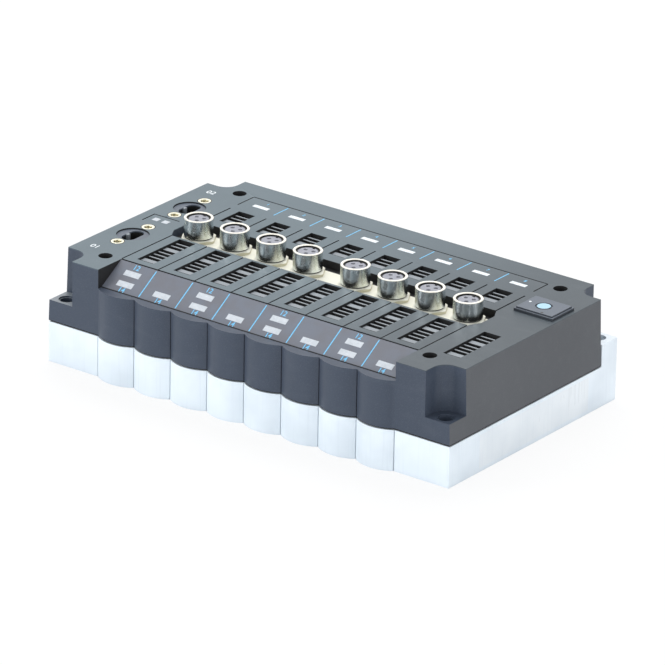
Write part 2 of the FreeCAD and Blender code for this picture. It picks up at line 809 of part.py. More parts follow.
# Scooped corner notches down to the level of the feet.
notches = sketch(cover, "XY_Plane", "CornerNotches", foot_z)
radius = s("notch_radius")
for edge_x, side_x in ((left, 1), (right, -1)):
    for edge_y, side_y in ((front, 1), (rear, -1)):
        wall_x = edge_x + s("notch_width") * side_x
        wall_y = edge_y + s("notch_depth") * side_y
        centre_x = wall_x - radius * side_x
        centre_y = wall_y - radius * side_y
        diagonal = radius * math.sqrt(0.5)
        bulge_at = (centre_x + diagonal * side_x, centre_y + diagonal * side_y)
        outline(
            notches,
            [
                (edge_x - side_x, edge_y - side_y),
                (wall_x, edge_y - side_y),
                (wall_x, centre_y, bulge_at, radius),
                (centre_x, wall_y),
                (edge_x - side_x, wall_y),
            ],
        )
pocket(cover, notches, height, "NotchCut", ahead=True)

# Mounting holes through the two front feet, each with a flat recess.
feet = sketch(cover, "XY_Plane", "FootHoles")
sinks = sketch(cover, "XY_Plane", "FootSinks", foot_z)
for x in (left + s("mount_inset_x"), right - s("mount_inset_x")):
    circle(feet, s("mount_hole"), x, front + s("mount_inset_y"))
    circle(sinks, s("mount_sink"), x, front + s("mount_inset_y"))
pocket(cover, feet, foot_z + 1, "FootDrilling", ahead=True)
pocket(cover, sinks, s("mount_sink_depth"), "FootSinkCut")

# Hollow inside. The middle follows the label face at an even wall.
slope_length = (s("label_run") * s("label_run") + s("label_drop") * s("label_drop")).root()
shift = wall * (slope_length - s("label_drop")) / s("label_run")
hollow = sketch(cover, "YZ_Plane", "HollowMiddle", wall)
inner_front = front + wall
slope_z = height - s("label_drop") - s("cover_roof")
outline(
    hollow,
    [
        (inner_front, -1),
        (rear - wall, -1),
        (rear - wall, roof_z),
        (shift, roof_z),
        (label_y + shift * 0.5, slope_z),
        (inner_front, slope_z),
    ],
)
pocket(cover, hollow, row - wall * 2, "HollowMiddleCut", ahead=True)
for side, edge, inner, name in ((1, left, 0, "Left"), (-1, right, row, "Right")):
    room = sketch(cover, "XY_Plane", f"Hollow{name}", -1)
    deep = as_size(inner) + (wall + 0.5) * side
    shy = as_size(inner) - wall * side
    shoulder = edge + (s("notch_width") + wall) * side
    flank = edge + (wall + s("cover_draft")) * side
    outline(
        room,
        [
            (shoulder, front + wall),
            (shy, front + wall),
            (shy, wall),
            (deep, wall),
            (deep, rear - wall),
            (shoulder, rear - wall),
            (shoulder, rear - s("notch_depth") - wall),
            (flank, rear - s("notch_depth") - wall),
            (flank, front + s("notch_depth") + wall),
            (shoulder, front + s("notch_depth") + wall),
        ],
    )
    pocket(cover, room, roof_z + 1, f"Hollow{name}Cut", ahead=True)

rooms = sketch(cover, "XY_Plane", "BlockRooms", -1)
block_front = rear - s("end_block_depth") - s("cover_play")
for side, edge, inner in ((1, left, 0), (-1, right, row)):
    flank = edge + (wall + s("cover_draft")) * side
    rectangle(rooms, flank, block_front, as_size(inner) + (wall + 0.5) * side, rear + 1)
pocket(cover, rooms, step_z + 1, "BlockRoomCuts", ahead=True)

# Screw posts, their wells from the top and clearance holes below.
screws = [
    (-s("cover_screw_left"), -s("cover_screw_front"), as_size(0)),
    (row + s("cover_screw_right"), -s("cover_screw_front"), as_size(0)),
    (-s("cover_screw_left"), rear - s("cover_screw_rear_inset"), foot_z),
    (row + s("cover_screw_right"), rear - s("cover_screw_rear_inset"), foot_z),
]
for floor, first, name in ((as_size(0), 0, "Front"), (foot_z, 2, "Rear")):
    posts = sketch(cover, "XY_Plane", f"Posts{name}", floor)
    for x, y, _ in screws[first : first + 2]:
        circle(posts, s("post_radius") * 2, x, y)
    pad(cover, posts, height - 0.5 - floor, f"PostPads{name}")
    wells = sketch(cover, "XY_Plane", f"Wells{name}", floor + s("screw_seat"))
    holes = sketch(cover, "XY_Plane", f"Shanks{name}", floor - 0.5)
    for x, y, _ in screws[first : first + 2]:
        circle(wells, s("screw_well"), x, y)
        circle(holes, s("screw_clearance"), x, y)
    pocket(cover, wells, height, f"WellCuts{name}", ahead=True)
    pocket(cover, holes, s("screw_seat") + 1, f"ShankCuts{name}", ahead=True)

# Slot for the row of sensor sockets, with cut corners.
def slot_corners(grow):
    low_x = -s("slot_overrun") - grow
    high_x = row + s("slot_overrun") + grow
    low_y = s("slot_front_y") - grow
    high_y = s("slot_rear_y") + grow
    along = s("slot_corner")
    across = s("slot_corner_across")
    return [
        (low_x + across, low_y),
        (high_x - across, low_y),
        (high_x, low_y + along),
        (high_x, high_y - along),
        (high_x - across, high_y),
        (low_x + across, high_y),
        (low_x, high_y - along),
        (low_x, low_y + along),
    ]


slot = sketch(cover, "XY_Plane", "SocketSlot", roof_z - 1)
outline(slot, slot_corners(as_size(0)))
pocket(cover, slot, s("cover_roof") + 2, "SocketSlotCut", ahead=True)

# Round seats, bosses and holes for the cable sockets and threaded inserts.
cable_x = -s("cable_socket_x")
cable_rows = (s("cable_socket_front"), s("cable_socket_rear"))
insert_rows = [y + s("insert_pitch") / 2 * k for y in cable_rows for k in (-1, 1)]
bosses = sketch(cover, "XY_Plane", "InsertBosses", height - s("brass_length") - 1)
for y in insert_rows:
    circle(bosses, s("brass_diameter") + s("brass_boss") * 2, cable_x, y)
pad(cover, bosses, s("brass_length") + 1 - s("cover_roof") + 0.5, "InsertBossPads")
brass = sketch(cover, "XY_Plane", "InsertHoles", height)
for y in insert_rows:
    circle(brass, s("brass_diameter"), cable_x, y)
pocket(cover, brass, s("brass_length"), "InsertCuts")
cables = sketch(cover, "XY_Plane", "CableSeats", height)
for y in cable_rows:
    circle(cables, s("cable_socket_disc"), cable_x, y)
pocket(cover, cables, s("cable_socket_body"), "CableSeatCuts")

# Seat of the interface cap.
cap_x = row + s("cap_left")
seat = sketch(cover, "XY_Plane", "CapSeat", height)
rectangle(seat, cap_x, s("cap_front"), cap_x + s("cap_width"), s("cap_front") + s("cap_depth"))
pocket(cover, seat, s("cap_seat"), "CapSeatCut")

# Lamp windows on the label face, at right angles to the slope.
cos_slope = s("label_run") / slope_length
sin_slope = s("label_drop") / slope_length


def lamp_section(along, depth):
    """Section of a lamp window at a distance down the slope."""
    corners = []
    for step_along, step_in in ((-1, 0), (1, 0), (1, 1), (-1, 1)):
        reach = along + s("lamp_breadth") / 2 * step_along
        inward = as_size(depth) * step_in
        y = -(reach * cos_slope) + inward * sin_slope
        z = height - reach * sin_slope - inward * cos_slope
        corners.append((y, z))
    return corners


lamp_x = middle - s("lamp_width") / 2
lower = sketch(cover, "YZ_Plane", "LampLower", lamp_x)
outline(lower, lamp_section(s("lamp_lower"), s("lamp_depth")))
lower_cut = pocket(cover, lower, s("lamp_width"), "LampLowerCut", ahead=True)
repeat(cover, lower_cut, pitch, SLICES, "LampLowerRow")
upper = sketch(cover, "YZ_Plane", "LampUpper", lamp_x)
outline(upper, lamp_section(s("lamp_upper"), s("lamp_depth")))
upper_cut = pocket(cover, upper, s("lamp_width"), "LampUpperCut", ahead=True)
repeat(cover, upper_cut, pitch * 2, SLICES // 2, "LampUpperRow")

# Rear lamp windows and the two status lamps.
rear_lamp_x = middle - s("rear_lamp_width") / 2
lamp = sketch(cover, "XY_Plane", "RearLamp", height)
rectangle(
    lamp,
    rear_lamp_x,
    s("rear_lamp_y"),
    rear_lamp_x + s("rear_lamp_width"),
    s("rear_lamp_y") + s("rear_lamp_breadth"),
)
lamp_cut = pocket(cover, lamp, s("lamp_depth"), "RearLampCut")
repeat(cover, lamp_cut, pitch, SLICES, "RearLampRow")
status = sketch(cover, "XY_Plane", "StatusLamps", height)
status_half = s("status_lamp_size") / 2
status_centres = [-s("status_lamp_first"), -s("status_lamp_second")]
for x in status_centres:
    y = s("status_lamp_y")
    rectangle(status, x - status_half, y - status_half, x + status_half, y + status_half)
pocket(cover, status, s("lamp_depth"), "StatusLampCut")

# Louvre windows: a flat recess, then slits between the louvres.
slit = s("louvre_slit")
thin = s("thin_louvre")
thick = s("thick_louvre")
FRONT_LOUVRES = [thick, thin, thin, thin, thick, thin, thin]
REAR_LOUVRES = [thick, thin, thin]


def louvres(centre_x, start_y, ribs, name, copies):
    half = s("window_width") / 2
    low = centre_x - half
    high = centre_x + half
    bars = []
    y = as_size(start_y)
    for rib in ribs:
        bars.append((y, y + slit))
        y = y + slit + rib
    bars.append((y, y + slit))
    recess = sketch(cover, "XY_Plane", f"Recess{name}", height)
    rectangle(recess, low, start_y, high, bars[-1][1])
    first = pocket(cover, recess, s("louvre_sink"), f"RecessCut{name}")
    if copies > 1:
        repeat(cover, first, pitch, copies, f"RecessRow{name}")
    openings = sketch(cover, "XY_Plane", f"Slits{name}", height - s("louvre_sink"))
    for begin, end in bars:
        rectangle(openings, low, begin, high, end)
    second = pocket(cover, openings, s("cover_roof"), f"SlitCut{name}")
    if copies > 1:
        repeat(cover, second, pitch, copies, f"SlitRow{name}")


louvres(s("window_centre"), s("front_window_y"), FRONT_LOUVRES, "Front", SLICES)
louvres(s("window_centre"), s("rear_window_y"), REAR_LOUVRES, "Rear", SLICES)
louvres(row + s("spare_window_x"), s("front_window_y"), FRONT_LOUVRES, "Spare", 1)
node(cover, "cover", 0, 0, cover_z)

# Lamp windows: clear plastic blocks that fill their pockets.
front_lamps = []
for index in range(SLICES):
    for along, count in ((s("lamp_lower"), 1), (s("lamp_upper"), 2)):
        if index % count:
            continue
        blockout = doc.addObject("Part::Box", "LampWindow")
        bind(blockout, "Length", s("lamp_width"))
        bind(blockout, "Width", s("lamp_breadth"))
        bind(blockout, "Height", s("lamp_depth"))
        angle = math.degrees(math.atan2(s("label_drop").value, s("label_run").value))
        blockout.Placement = FreeCAD.Placement(
            FreeCAD.Vector(), FreeCAD.Rotation(FreeCAD.Vector(1, 0, 0), angle)
        )
        blockout.setExpression(
            "Placement.Rotation.Angle", "atan(Sizes.label_drop / Sizes.label_run)"
        )
        reach = along + s("lamp_breadth") / 2
        inward = s("lamp_depth")
        put(
            blockout,
            pitch * index + lamp_x,
            -(reach * cos_slope) + inward * sin_slope,
            height - reach * sin_slope - inward * cos_slope,
        )
        front_lamps.append(blockout)
node(group(front_lamps, "FrontLampWindows"), "front_lamp_windows", 0, 0, cover_z)

lamp_low_z = height - s("lamp_depth")
top_lamps = [
    box(
        s("rear_lamp_width"),
        s("rear_lamp_breadth"),
        s("lamp_depth"),
        (pitch * index + rear_lamp_x, s("rear_lamp_y"), lamp_low_z),
        "RearLampWindow",
    )
    for index in range(SLICES)
]
for x in status_centres:
    corner = (x - status_half, s("status_lamp_y") - status_half, lamp_low_z)
    size = s("status_lamp_size")
    top_lamps.append(box(size, size, s("lamp_depth"), corner, "StatusLamp"))
node(group(top_lamps, "TopLampWindows"), "top_lamp_windows", 0, 0, cover_z)

# Seal under the cover: a band under its front and end walls, and a strip under
# its rear wall on top of the raised blocks.
inset = s("seal_inset")
breadth = s("seal_breadth")
band = body("SealBand")
band_plan = sketch(band, "XY_Plane", "SealBandPlan")
band_rear = rear - s("pad_depth") - s("cover_play")
outline(
    band_plan,
    [
        (left + inset, front + inset),
        (right - inset, front + inset),
        (right - inset, band_rear),
        (right - inset - breadth, band_rear),
        (right - inset - breadth, front + inset + breadth),
        (left + inset + breadth, front + inset + breadth),
        (left + inset + breadth, band_rear),
        (left + inset, band_rear),
    ],
)
pad(band, band_plan, s("seam"), "SealBandPad")
strip_left = left + s("notch_width") + inset
strip = box(
    right - s("notch_width") - inset - strip_left,
    breadth,
    s("seam"),
    (strip_left, rear - inset - breadth, raised_z - base_z),
    "SealStrip",
)
node(group([band, strip], "CoverSeal"), "cover_seal", 0, 0, base_z)

# Cover screws at the bottom of their wells.
cover_screws = []
for x, y, floor in screws:
    head = rod(
        s("screw_head"),
        s("screw_head_length"),
        (x, y, floor + s("screw_seat")),
        "z",
        "ScrewHead",
    )
    drop = s("seam") if floor.value == 0 else as_size(0)
    reach = s("screw_thread") + s("screw_seat") + drop
    shank = rod(
        s("screw_shank"),
        reach,
        (x, y, floor + s("screw_seat") - reach),
        "z",
        "ScrewShank",
    )
    cover_screws.append(fuse([head, shank], "CoverScrew"))
node(group(cover_screws, "CoverScrews"), "cover_screws", 0, 0, cover_z)

# Carrier of the sensor sockets: its face stands in the front of the slot and
# leaves a gap behind it, its flange lies under the cover's top.
face_z = height - s("carrier_sink")
flange_low = roof_z - s("carrier_flange")
play = s("carrier_play")
socket_row = s("socket_y")
socket_places = []
for index in range(SLICES):
    shift_x = -s("socket_shift") if index < SLICES // 2 else s("socket_shift")
    socket_places.append(pitch * index + middle + shift_x)
carrier = body("ConnectorCarrier")
flange = sketch(carrier, "XY_Plane", "CarrierFlange")
outline(flange, slot_corners(s("carrier_lip")))
pad(carrier, flange, s("carrier_flange"), "CarrierFlangePad")
face = sketch(carrier, "XY_Plane", "CarrierFace", s("carrier_flange"))
face_front = s("slot_front_y") + play
face_reach = s("carrier_face_reach")
rectangle(
    face,
    socket_places[0] - face_reach,
    face_front,
    socket_places[-1] + face_reach,
    face_front + s("carrier_face_depth"),
)
pad(carrier, face, face_z - roof_z, "CarrierFacePad")
seats = sketch(carrier, "XY_Plane", "SocketSeats")
for x in socket_places:
    circle(seats, s("socket_shank"), x, socket_row)
pocket(carrier, seats, face_z - flange_low + 1, "SocketSeatCuts", ahead=True)
node(carrier, "connector_carrier", 0, 0, cover_z + flange_low)

# Sensor sockets: collar, hexagon and shank in one turned piece.
rim_z = height + s("socket_height") - face_z
shank_low = -s("socket_shank_length")


def sensor_socket(number, x):
    item = body(f"SensorSocket{number}")
    profile = sketch(item, "XZ_Plane", "SocketProfile")
    bore = s("socket_bore") / 2
    shank = s("socket_shank") / 2
    collar = s("socket_diameter") / 2
    outline(
        profile,
        [
            (bore, shank_low),
            (shank, shank_low),
            (shank, 0),
            (collar, 0),
            (collar, rim_z),
            (bore, rim_z),
        ],
    )
    turn = item.newObject("PartDesign::Revolution", "SocketTurning")
    turn.Profile = profile
    turn.ReferenceAxis = (profile, ["V_Axis"])
    turn.Angle = 360
    hexagon = sketch(item, "XY_Plane", "SocketHexagon")
    reach = s("socket_flat") / 2
    corner = s("socket_flat") / 2 / math.sqrt(3)
    outline(
        hexagon,
        [
            (reach, -corner),
            (reach, corner),
            (0, corner * 2),
            (-reach, corner),
            (-reach, -corner),
            (0, -(corner * 2)),
        ],
    )
    circle(hexagon, s("socket_bore"), 0, 0)
    pad(item, hexagon, s("socket_hex_height"), "SocketHexagonPad")
    return node(item, f"sensor_socket_{number}", x, socket_row, cover_z + face_z)


for number, x in enumerate(socket_places, start=1):
    sensor_socket(number, x)

# Contact inserts: a broad foot that fits the collar's bore, then the slim
# face that leaves a ring gap for the plug.
inserts = []
insert_top = rim_z - s("insert_sink")
for x in socket_places:
    foot = rod(s("socket_bore"), s("insert_foot"), (x, socket_row, shank_low), "z", "InsertFoot")
    stem = rod(
        s("insert_diameter"),
        insert_top - shank_low,
        (x, socket_row, shank_low),
        "z",
        "InsertStem",
    )
    inserts.append(fuse([foot, stem], "ContactInsert"))
node(group(inserts, "ContactInserts"), "contact_inserts", 0, 0, cover_z + face_z)

# Circuit board under the sockets.
board = box(
    row,
    s("board_depth"),
    s("board_thickness"),
    (0, 0, 0),
    "CircuitBoard",
)
board_z = cover_z + face_z + shank_low - s("board_thickness")
node(board, "circuit_board", 0, socket_row - s("board_depth") / 2, board_z)

# Cable sockets on the left end: round body with an oval mouth and contacts.
for label, y in (("power_socket", cable_rows[0]), ("bus_socket", cable_rows[1])):
    item = body(label.title().replace("_", ""))
    disc = sketch(item, "XY_Plane", "CableDisc")
    circle(disc, s("cable_socket_disc"), 0, 0)
    pad(item, disc, s("cable_socket_body") - s("cable_face_sink"), "CableBody")
    mouth_z = s("cable_socket_body") - s("cable_face_sink")
    mouth = sketch(item, "XY_Plane", "CableMouth", mouth_z)
    half_x = s("cable_socket_width") / 2
    straight = (s("cable_socket_length") - s("cable_socket_width")) / 2
    outline(
        mouth,
        [
            (half_x, -straight),
            (half_x, straight, (0, straight + half_x), ("level", straight)),
            (-half_x, straight),
            (-half_x, -straight, (0, -straight - half_x), ("level", -straight)),
        ],
    )
    pocket(item, mouth, s("cable_mouth_depth"), "CableMouthCut")
    blades = sketch(item, "XY_Plane", "ContactBlades", mouth_z - s("cable_mouth_depth"))
    thin_half = s("contact_width") / 2
    for k in (-1, 0, 1):
        centre = straight * k
        rectangle(blades, -thin_half, centre - thin_half, thin_half, centre + thin_half)
    pad(item, blades, s("contact_height"), "ContactBladePads")
    node(item, label, cable_x, y, top_z - s("cable_socket_body"))

# Brass inserts beside the cable sockets.
brass_parts = []
for y in insert_rows:
    outer = rod(s("brass_diameter"), s("brass_length"), (0, y, 0), "z", "BrassOuter")
    inner = rod(s("brass_bore"), s("brass_length") + 2, (0, y, -1), "z", "BrassBore")
    brass_parts.append(cut(outer, [inner], "BrassInsert"))
node(group(brass_parts, "ThreadedInserts"), "threaded_inserts", cable_x, 0, top_z - s("brass_length"))

# Interface cap on the right end, with a stepped edge and a disc in a recess.
cap = body("InterfaceCap")
cap_plan = sketch(cap, "XY_Plane", "CapPlan")
rectangle(cap_plan, 0, 0, s("cap_width"), s("cap_depth"))
cap_height = s("cap_seat") + s("cap_proud")
pad(cap, cap_plan, cap_height - s("cap_step"), "CapBlock")
crown = sketch(cap, "XY_Plane", "CapCrown", cap_height - s("cap_step"))
rectangle(
    crown,
    s("cap_step"),
    s("cap_step"),
    s("cap_width") - s("cap_step"),
    s("cap_depth") - s("cap_step"),
)
pad(cap, crown, s("cap_step"), "CapCrownPad")
ring = sketch(cap, "XY_Plane", "CapRing", cap_height)
circle(ring, s("cap_disc") + s("cap_ring") * 2, s("cap_width") / 2, s("cap_depth") / 2)
circle(ring, s("cap_disc"), s("cap_width") / 2, s("cap_depth") / 2)
pocket(cap, ring, s("cap_disc_sink"), "CapRingCut")
node(cap, "interface_cap", cap_x, s("cap_front"), top_z - s("cap_seat"))

# Rebuild everything, check every object and write the sub-parts.
doc.recompute()
problems = []
for obj in doc.Objects:
    if "Invalid" in obj.State or "Error" in obj.State:
        problems.append(f"{obj.Name} failed to build")
for feature in CUTS:
    before = feature.BaseFeature.Shape
    if before.isNull() or feature.Shape.isNull():
        problems.append(f"{feature.Name} has no shape")
    elif feature.Shape.Volume > before.Volume - 1e-3:
        problems.append(f"{feature.Name} removes nothing")
labels = [obj.Label for obj in NODES]
if len(set(labels)) != len(labels):
    problems.append("two sub-parts share a name")
for obj in NODES:
    shape = obj.Shape
    if shape.isNull() or not shape.isValid() or not shape.Solids:
        problems.append(f"{obj.Label} has no valid solid")
if problems:
    raise RuntimeError("; ".join(problems))

os.makedirs("parts", exist_ok=True)
for obj in NODES:
    obj.Shape.exportStep(os.path.join("parts", f"{obj.Label}.step"))
print(f"{len(NODES)} sub-parts written")
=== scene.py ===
"""Looks of the pneumatic valve island: rounded shells, printed marks, turned
sensor sockets, cable sockets, screws, finishes, studio and camera.

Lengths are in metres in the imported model's frame: +X along the row of valve
slices, +Y to the rear with the work ports, +Z up from the mounting surface.
"""

import json
import logging
import math
from dataclasses import dataclass
from enum import Enum, IntEnum
from functools import cache, cached_property
from typing import Iterable, Iterator, Sequence, Union

import bmesh
import bpy
from mathutils import Matrix, Vector


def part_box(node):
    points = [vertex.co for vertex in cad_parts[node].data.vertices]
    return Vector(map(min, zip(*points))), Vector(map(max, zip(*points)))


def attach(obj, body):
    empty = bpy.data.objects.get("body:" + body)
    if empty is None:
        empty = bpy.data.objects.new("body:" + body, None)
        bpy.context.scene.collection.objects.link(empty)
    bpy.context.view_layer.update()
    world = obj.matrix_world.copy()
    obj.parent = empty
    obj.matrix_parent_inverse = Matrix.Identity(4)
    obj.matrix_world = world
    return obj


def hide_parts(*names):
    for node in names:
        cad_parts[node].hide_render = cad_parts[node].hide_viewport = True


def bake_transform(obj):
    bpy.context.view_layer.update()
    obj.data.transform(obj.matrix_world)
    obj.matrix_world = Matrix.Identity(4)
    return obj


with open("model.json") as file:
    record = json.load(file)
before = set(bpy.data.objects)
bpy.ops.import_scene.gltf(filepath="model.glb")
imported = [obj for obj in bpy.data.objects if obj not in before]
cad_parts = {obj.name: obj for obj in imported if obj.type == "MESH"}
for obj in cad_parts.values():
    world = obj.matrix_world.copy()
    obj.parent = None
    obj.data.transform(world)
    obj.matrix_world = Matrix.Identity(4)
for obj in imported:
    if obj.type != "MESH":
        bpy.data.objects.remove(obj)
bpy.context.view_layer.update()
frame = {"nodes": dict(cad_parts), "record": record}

log = logging.getLogger("valve_island")

MM = 0.001
Colour = tuple[float, float, float]
Point = tuple[float, float]
Spot = tuple[float, float, float]


def tone(red: int, green: int, blue: int) -> Colour:
    """Turn a display colour into the linear colour of a shader.

    Args:
        red: Red from 0 to 255.
        green: Green from 0 to 255.
        blue: Blue from 0 to 255.

    Returns:
        The linear red, green and blue.
    """
    def linear(level: int) -> float:
        """Undo the display curve of one channel."""
        share = level / 255
        return share / 12.92 if share <= 0.04045 else ((share + 0.055) / 1.055) ** 2.4
    return linear(red), linear(green), linear(blue)


# --------------------------------------------------------------------------
# Layout
# --------------------------------------------------------------------------
@dataclass(frozen=True)
class Layout:
    """Shared lines of the island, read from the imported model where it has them."""

    slices: int = 8
    pitch: float = 14.0 * MM
    half_gap: float = 0.15 * MM
    fold_behind_cusps: float = 11.3 * MM
    body_depth: float = 85.9 * MM
    label_run: float = 9.7 * MM
    label_drop: float = 6.2 * MM

    @cached_property
    def row_left(self) -> float:
        """X of the left line of slice 1."""
        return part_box("valve_slice_1")[0].x - self.half_gap

    @cached_property
    def row_right(self) -> float:
        """X of the right line of the last slice."""
        return self.row_left + self.slices * self.pitch

    @cached_property
    def rear(self) -> float:
        """Y of the rear face."""
        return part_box("valve_slice_1")[1].y

    @cached_property
    def fold(self) -> float:
        """Y of the fold where the flat top meets the label face."""
        return self.rear - self.body_depth + self.fold_behind_cusps

    @cached_property
    def foot(self) -> float:
        """Z of the cover's foot."""
        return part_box("cover")[0].z

    @cached_property
    def top(self) -> float:
        """Z of the cover's flat top."""
        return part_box("cover")[1].z

    @cached_property
    def label_slope(self) -> float:
        """Length of the label face down its slope."""
        return math.hypot(self.label_run, self.label_drop)

    def at(self, x: float, y: float, z: float = 0.0) -> Vector:
        """Place a point given in millimetres from the row's left line, the fold and the top.

        Args:
            x: Distance from the left line of slice 1.
            y: Distance behind the fold.
            z: Height over the cover's top.

        Returns:
            The point in the model's frame.
        """
        return Vector((self.row_left + x * MM, self.fold + y * MM, self.top + z * MM))

    def on_label(self, x: float, along: float, lift: float = 0.0) -> Vector:
        """Place a point on the sloped label face.

        Args:
            x: Millimetres from the left line of slice 1.
            along: Millimetres down the slope from the fold.
            lift: Millimetres off the face.

        Returns:
            The point in the model's frame.
        """
        down = Vector((0, -self.label_run, -self.label_drop)) / self.label_slope
        off = Vector((0, -self.label_drop, self.label_run)) / self.label_slope
        return self.at(x, 0) + (down * along + off * lift) * MM

    def label_turn(self) -> Matrix:
        """Turn from the flat to the label face."""
        return Matrix.Rotation(math.atan2(self.label_drop, self.label_run), 4, "X")


LAYOUT = Layout()


def middle_of(node: str) -> Vector:
    """Find the middle of a CAD node's box."""
    low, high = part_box(node)
    return (low + high) / 2


# --------------------------------------------------------------------------
# Shader maths
# --------------------------------------------------------------------------
Term = Union["Val", float, Colour]


class Val:
    """An output socket of a node tree as a term of Python maths."""

    def __init__(self, nodes: "Nodes", socket: bpy.types.NodeSocket) -> None:
        """Wrap one output socket of a tree."""
        self.nodes = nodes
        self.socket = socket

    def _math(self, operation: str, first: Term, second: Term) -> "Val":
        """Join two terms with a Math node.

        Args:
            operation: The Math node's operation.
            first: Left term.
            second: Right term.

        Returns:
            The result.
        """
        return self.nodes.node("ShaderNodeMath", {"operation": operation}, {0: first, 1: second})

    def __add__(self, other: Term) -> "Val":
        """Add a term."""
        return self._math("ADD", self, other)

    def __radd__(self, other: Term) -> "Val":
        """Add to a number."""
        return self._math("ADD", other, self)

    def __sub__(self, other: Term) -> "Val":
        """Take away a term."""
        return self._math("SUBTRACT", self, other)

    def __rsub__(self, other: Term) -> "Val":
        """Take away from a number."""
        return self._math("SUBTRACT", other, self)

    def __mul__(self, other: Term) -> "Val":
        """Multiply with a term."""
        return self._math("MULTIPLY", self, other)

    def __rmul__(self, other: Term) -> "Val":
        """Multiply a number."""
        return self._math("MULTIPLY", other, self)

    def either(self, other: Term) -> "Val":
        """Take the larger of two terms."""
        return self._math("MAXIMUM", self, other)

    def above(self, low: float, high: float) -> "Val":
        """Ramp smoothly from 0 at low to 1 at high.

        Args:
            low: Value that gives 0.
            high: Value that gives 1.

        Returns:
            The ramp's value.
        """
        ramp = {"Value": self, "From Min": low, "From Max": high}
        return self.nodes.node("ShaderNodeMapRange", {"interpolation_type": "SMOOTHSTEP"}, ramp)

    def sine(self, period: float) -> "Val":
        """Swing between 0 and 1 over a period."""
        return self._math("SINE", self * (math.tau / period), 0.0) * 0.5 + 0.5


class Nodes:
    """A node tree that is filled through one method."""

    def __init__(self, tree: bpy.types.NodeTree) -> None:
        """Start with an empty tree."""
        self.tree = tree
        self.tree.nodes.clear()

    def _feed(self, socket: bpy.types.NodeSocket, value: Term) -> None:
        """Link a value to a socket, or write a number or colour into it.

        Args:
            socket: The input socket.
            value: What it takes.
        """
        if isinstance(value, Val):
            self.tree.links.new(value.socket, socket)
        elif socket.type == "RGBA":
            socket.default_value = (*value, 1.0)
        else:
            socket.default_value = value

    def node(
        self,
        kind: str,
        settings: dict[str, object] | None = None,
        inputs: dict[str | int, Term] | None = None,
        output: str | int = 0,
    ) -> Val:
        """Add a node.

        Args:
            kind: The node's type.
            settings: Its own settings, set first.
            inputs: Values or links of its sockets, by name or index.
            output: The output to return, by name or index.

        Returns:
            The chosen output.
        """
        made = self.tree.nodes.new(kind)
        for name, value in (settings or {}).items():
            setattr(made, name, value)
        for key, value in (inputs or {}).items():
            self._feed(made.inputs[key], value)
        return Val(self, made.outputs[output])

    def ray(self, kind: str) -> Val:
        """Give 1 for rays of a kind, such as Camera or Glossy."""
        return self.node("ShaderNodeLightPath", output=f"Is {kind} Ray")

    def close(self, kind: str, surface: Val) -> None:
        """Add the tree's output node and link the surface to it."""
        self.tree.links.new(surface.socket, self.tree.nodes.new(kind).inputs["Surface"])


class Axis(Enum):
    """An axis of the model's frame."""

    X = "X"
    Y = "Y"
    Z = "Z"


class Shader(Nodes):
    """The node tree of one material."""

    def __init__(self, name: str) -> None:
        """Make an empty material.

        Args:
            name: Name of the material.
        """
        self.material = bpy.data.materials.new(name)
        self.material.use_nodes = True
        super().__init__(self.material.node_tree)

    @cached_property
    def spot(self) -> Val:
        """Place on the piece as a vector, in metres."""
        return self.node("ShaderNodeTexCoord", output="Object")

    def along(self, axis: Axis) -> Val:
        """Give the place on the piece along one axis, in metres."""
        return self.node("ShaderNodeSeparateXYZ", None, {0: self.spot}, axis.value)

    def noise(self, size: float, detail: float = 2.0, stretch: Spot = (1, 1, 1)) -> Val:
        """Sample soft noise.

        Args:
            size: Size of the noise's grains in metres.
            detail: Octaves.
            stretch: Factor along each axis; under 1 draws the grains out.

        Returns:
            The noise, about 0.3 to 0.7.
        """
        places = {0: self.spot, 1: stretch}
        drawn = self.node("ShaderNodeVectorMath", {"operation": "MULTIPLY"}, places)
        inputs = {"Vector": drawn, "Scale": 1 / size, "Detail": detail}
        return self.node("ShaderNodeTexNoise", None, inputs)

    def cells(self, size: float) -> Val:
        """Give the distance to the nearest of scattered points, in cell sizes."""
        inputs = {"Vector": self.spot, "Scale": 1 / size}
        return self.node("ShaderNodeTexVoronoi", None, inputs, "Distance")

    def mix(self, share: Term, first: Term, second: Term) -> Val:
        """Blend two colours.

        Args:
            share: 0 gives the first colour, 1 the second.
            first: A colour.
            second: Another colour.

        Returns:
            The blended colour.
        """
        inputs = {0: share, 6: first, 7: second}
        return self.node("ShaderNodeMix", {"data_type": "RGBA"}, inputs, 2)

    def bump(self, height: Val, depth: float) -> Val:
        """Turn a height from 0 to 1 into a normal; depth is the metres for a height of 1."""
        inputs = {"Height": height, "Distance": depth, "Strength": 1.0}
        return self.node("ShaderNodeBump", None, inputs)

    def surface(self, **sockets: Term) -> Val:
        """Add the principled surface.

        Args:
            **sockets: Values or links; an underscore in a name stands for a space.

        Returns:
            The surface.
        """
        inputs = {name.replace("_", " "): value for name, value in sockets.items()}
        return self.node("ShaderNodeBsdfPrincipled", None, inputs)


# --------------------------------------------------------------------------
# Finishes
# --------------------------------------------------------------------------
@dataclass(frozen=True)
class Finish:
    """A procedural finish. Each kind says what its surface's sockets take."""

    name: str

    def sockets(self, sh: Shader) -> dict[str, Term]:
        """Say what the sockets of the surface take.

        Args:
            sh: The material's shader.

        Returns:
            Values or links by socket name, with underscores for spaces.
        """
        raise NotImplementedError

    def build(self) -> bpy.types.Material:
        """Build the finish's material.

        Returns:
            The material.
        """
        sh = Shader(self.name)
        sh.close("ShaderNodeOutputMaterial", sh.surface(**self.sockets(sh)))
        return sh.material


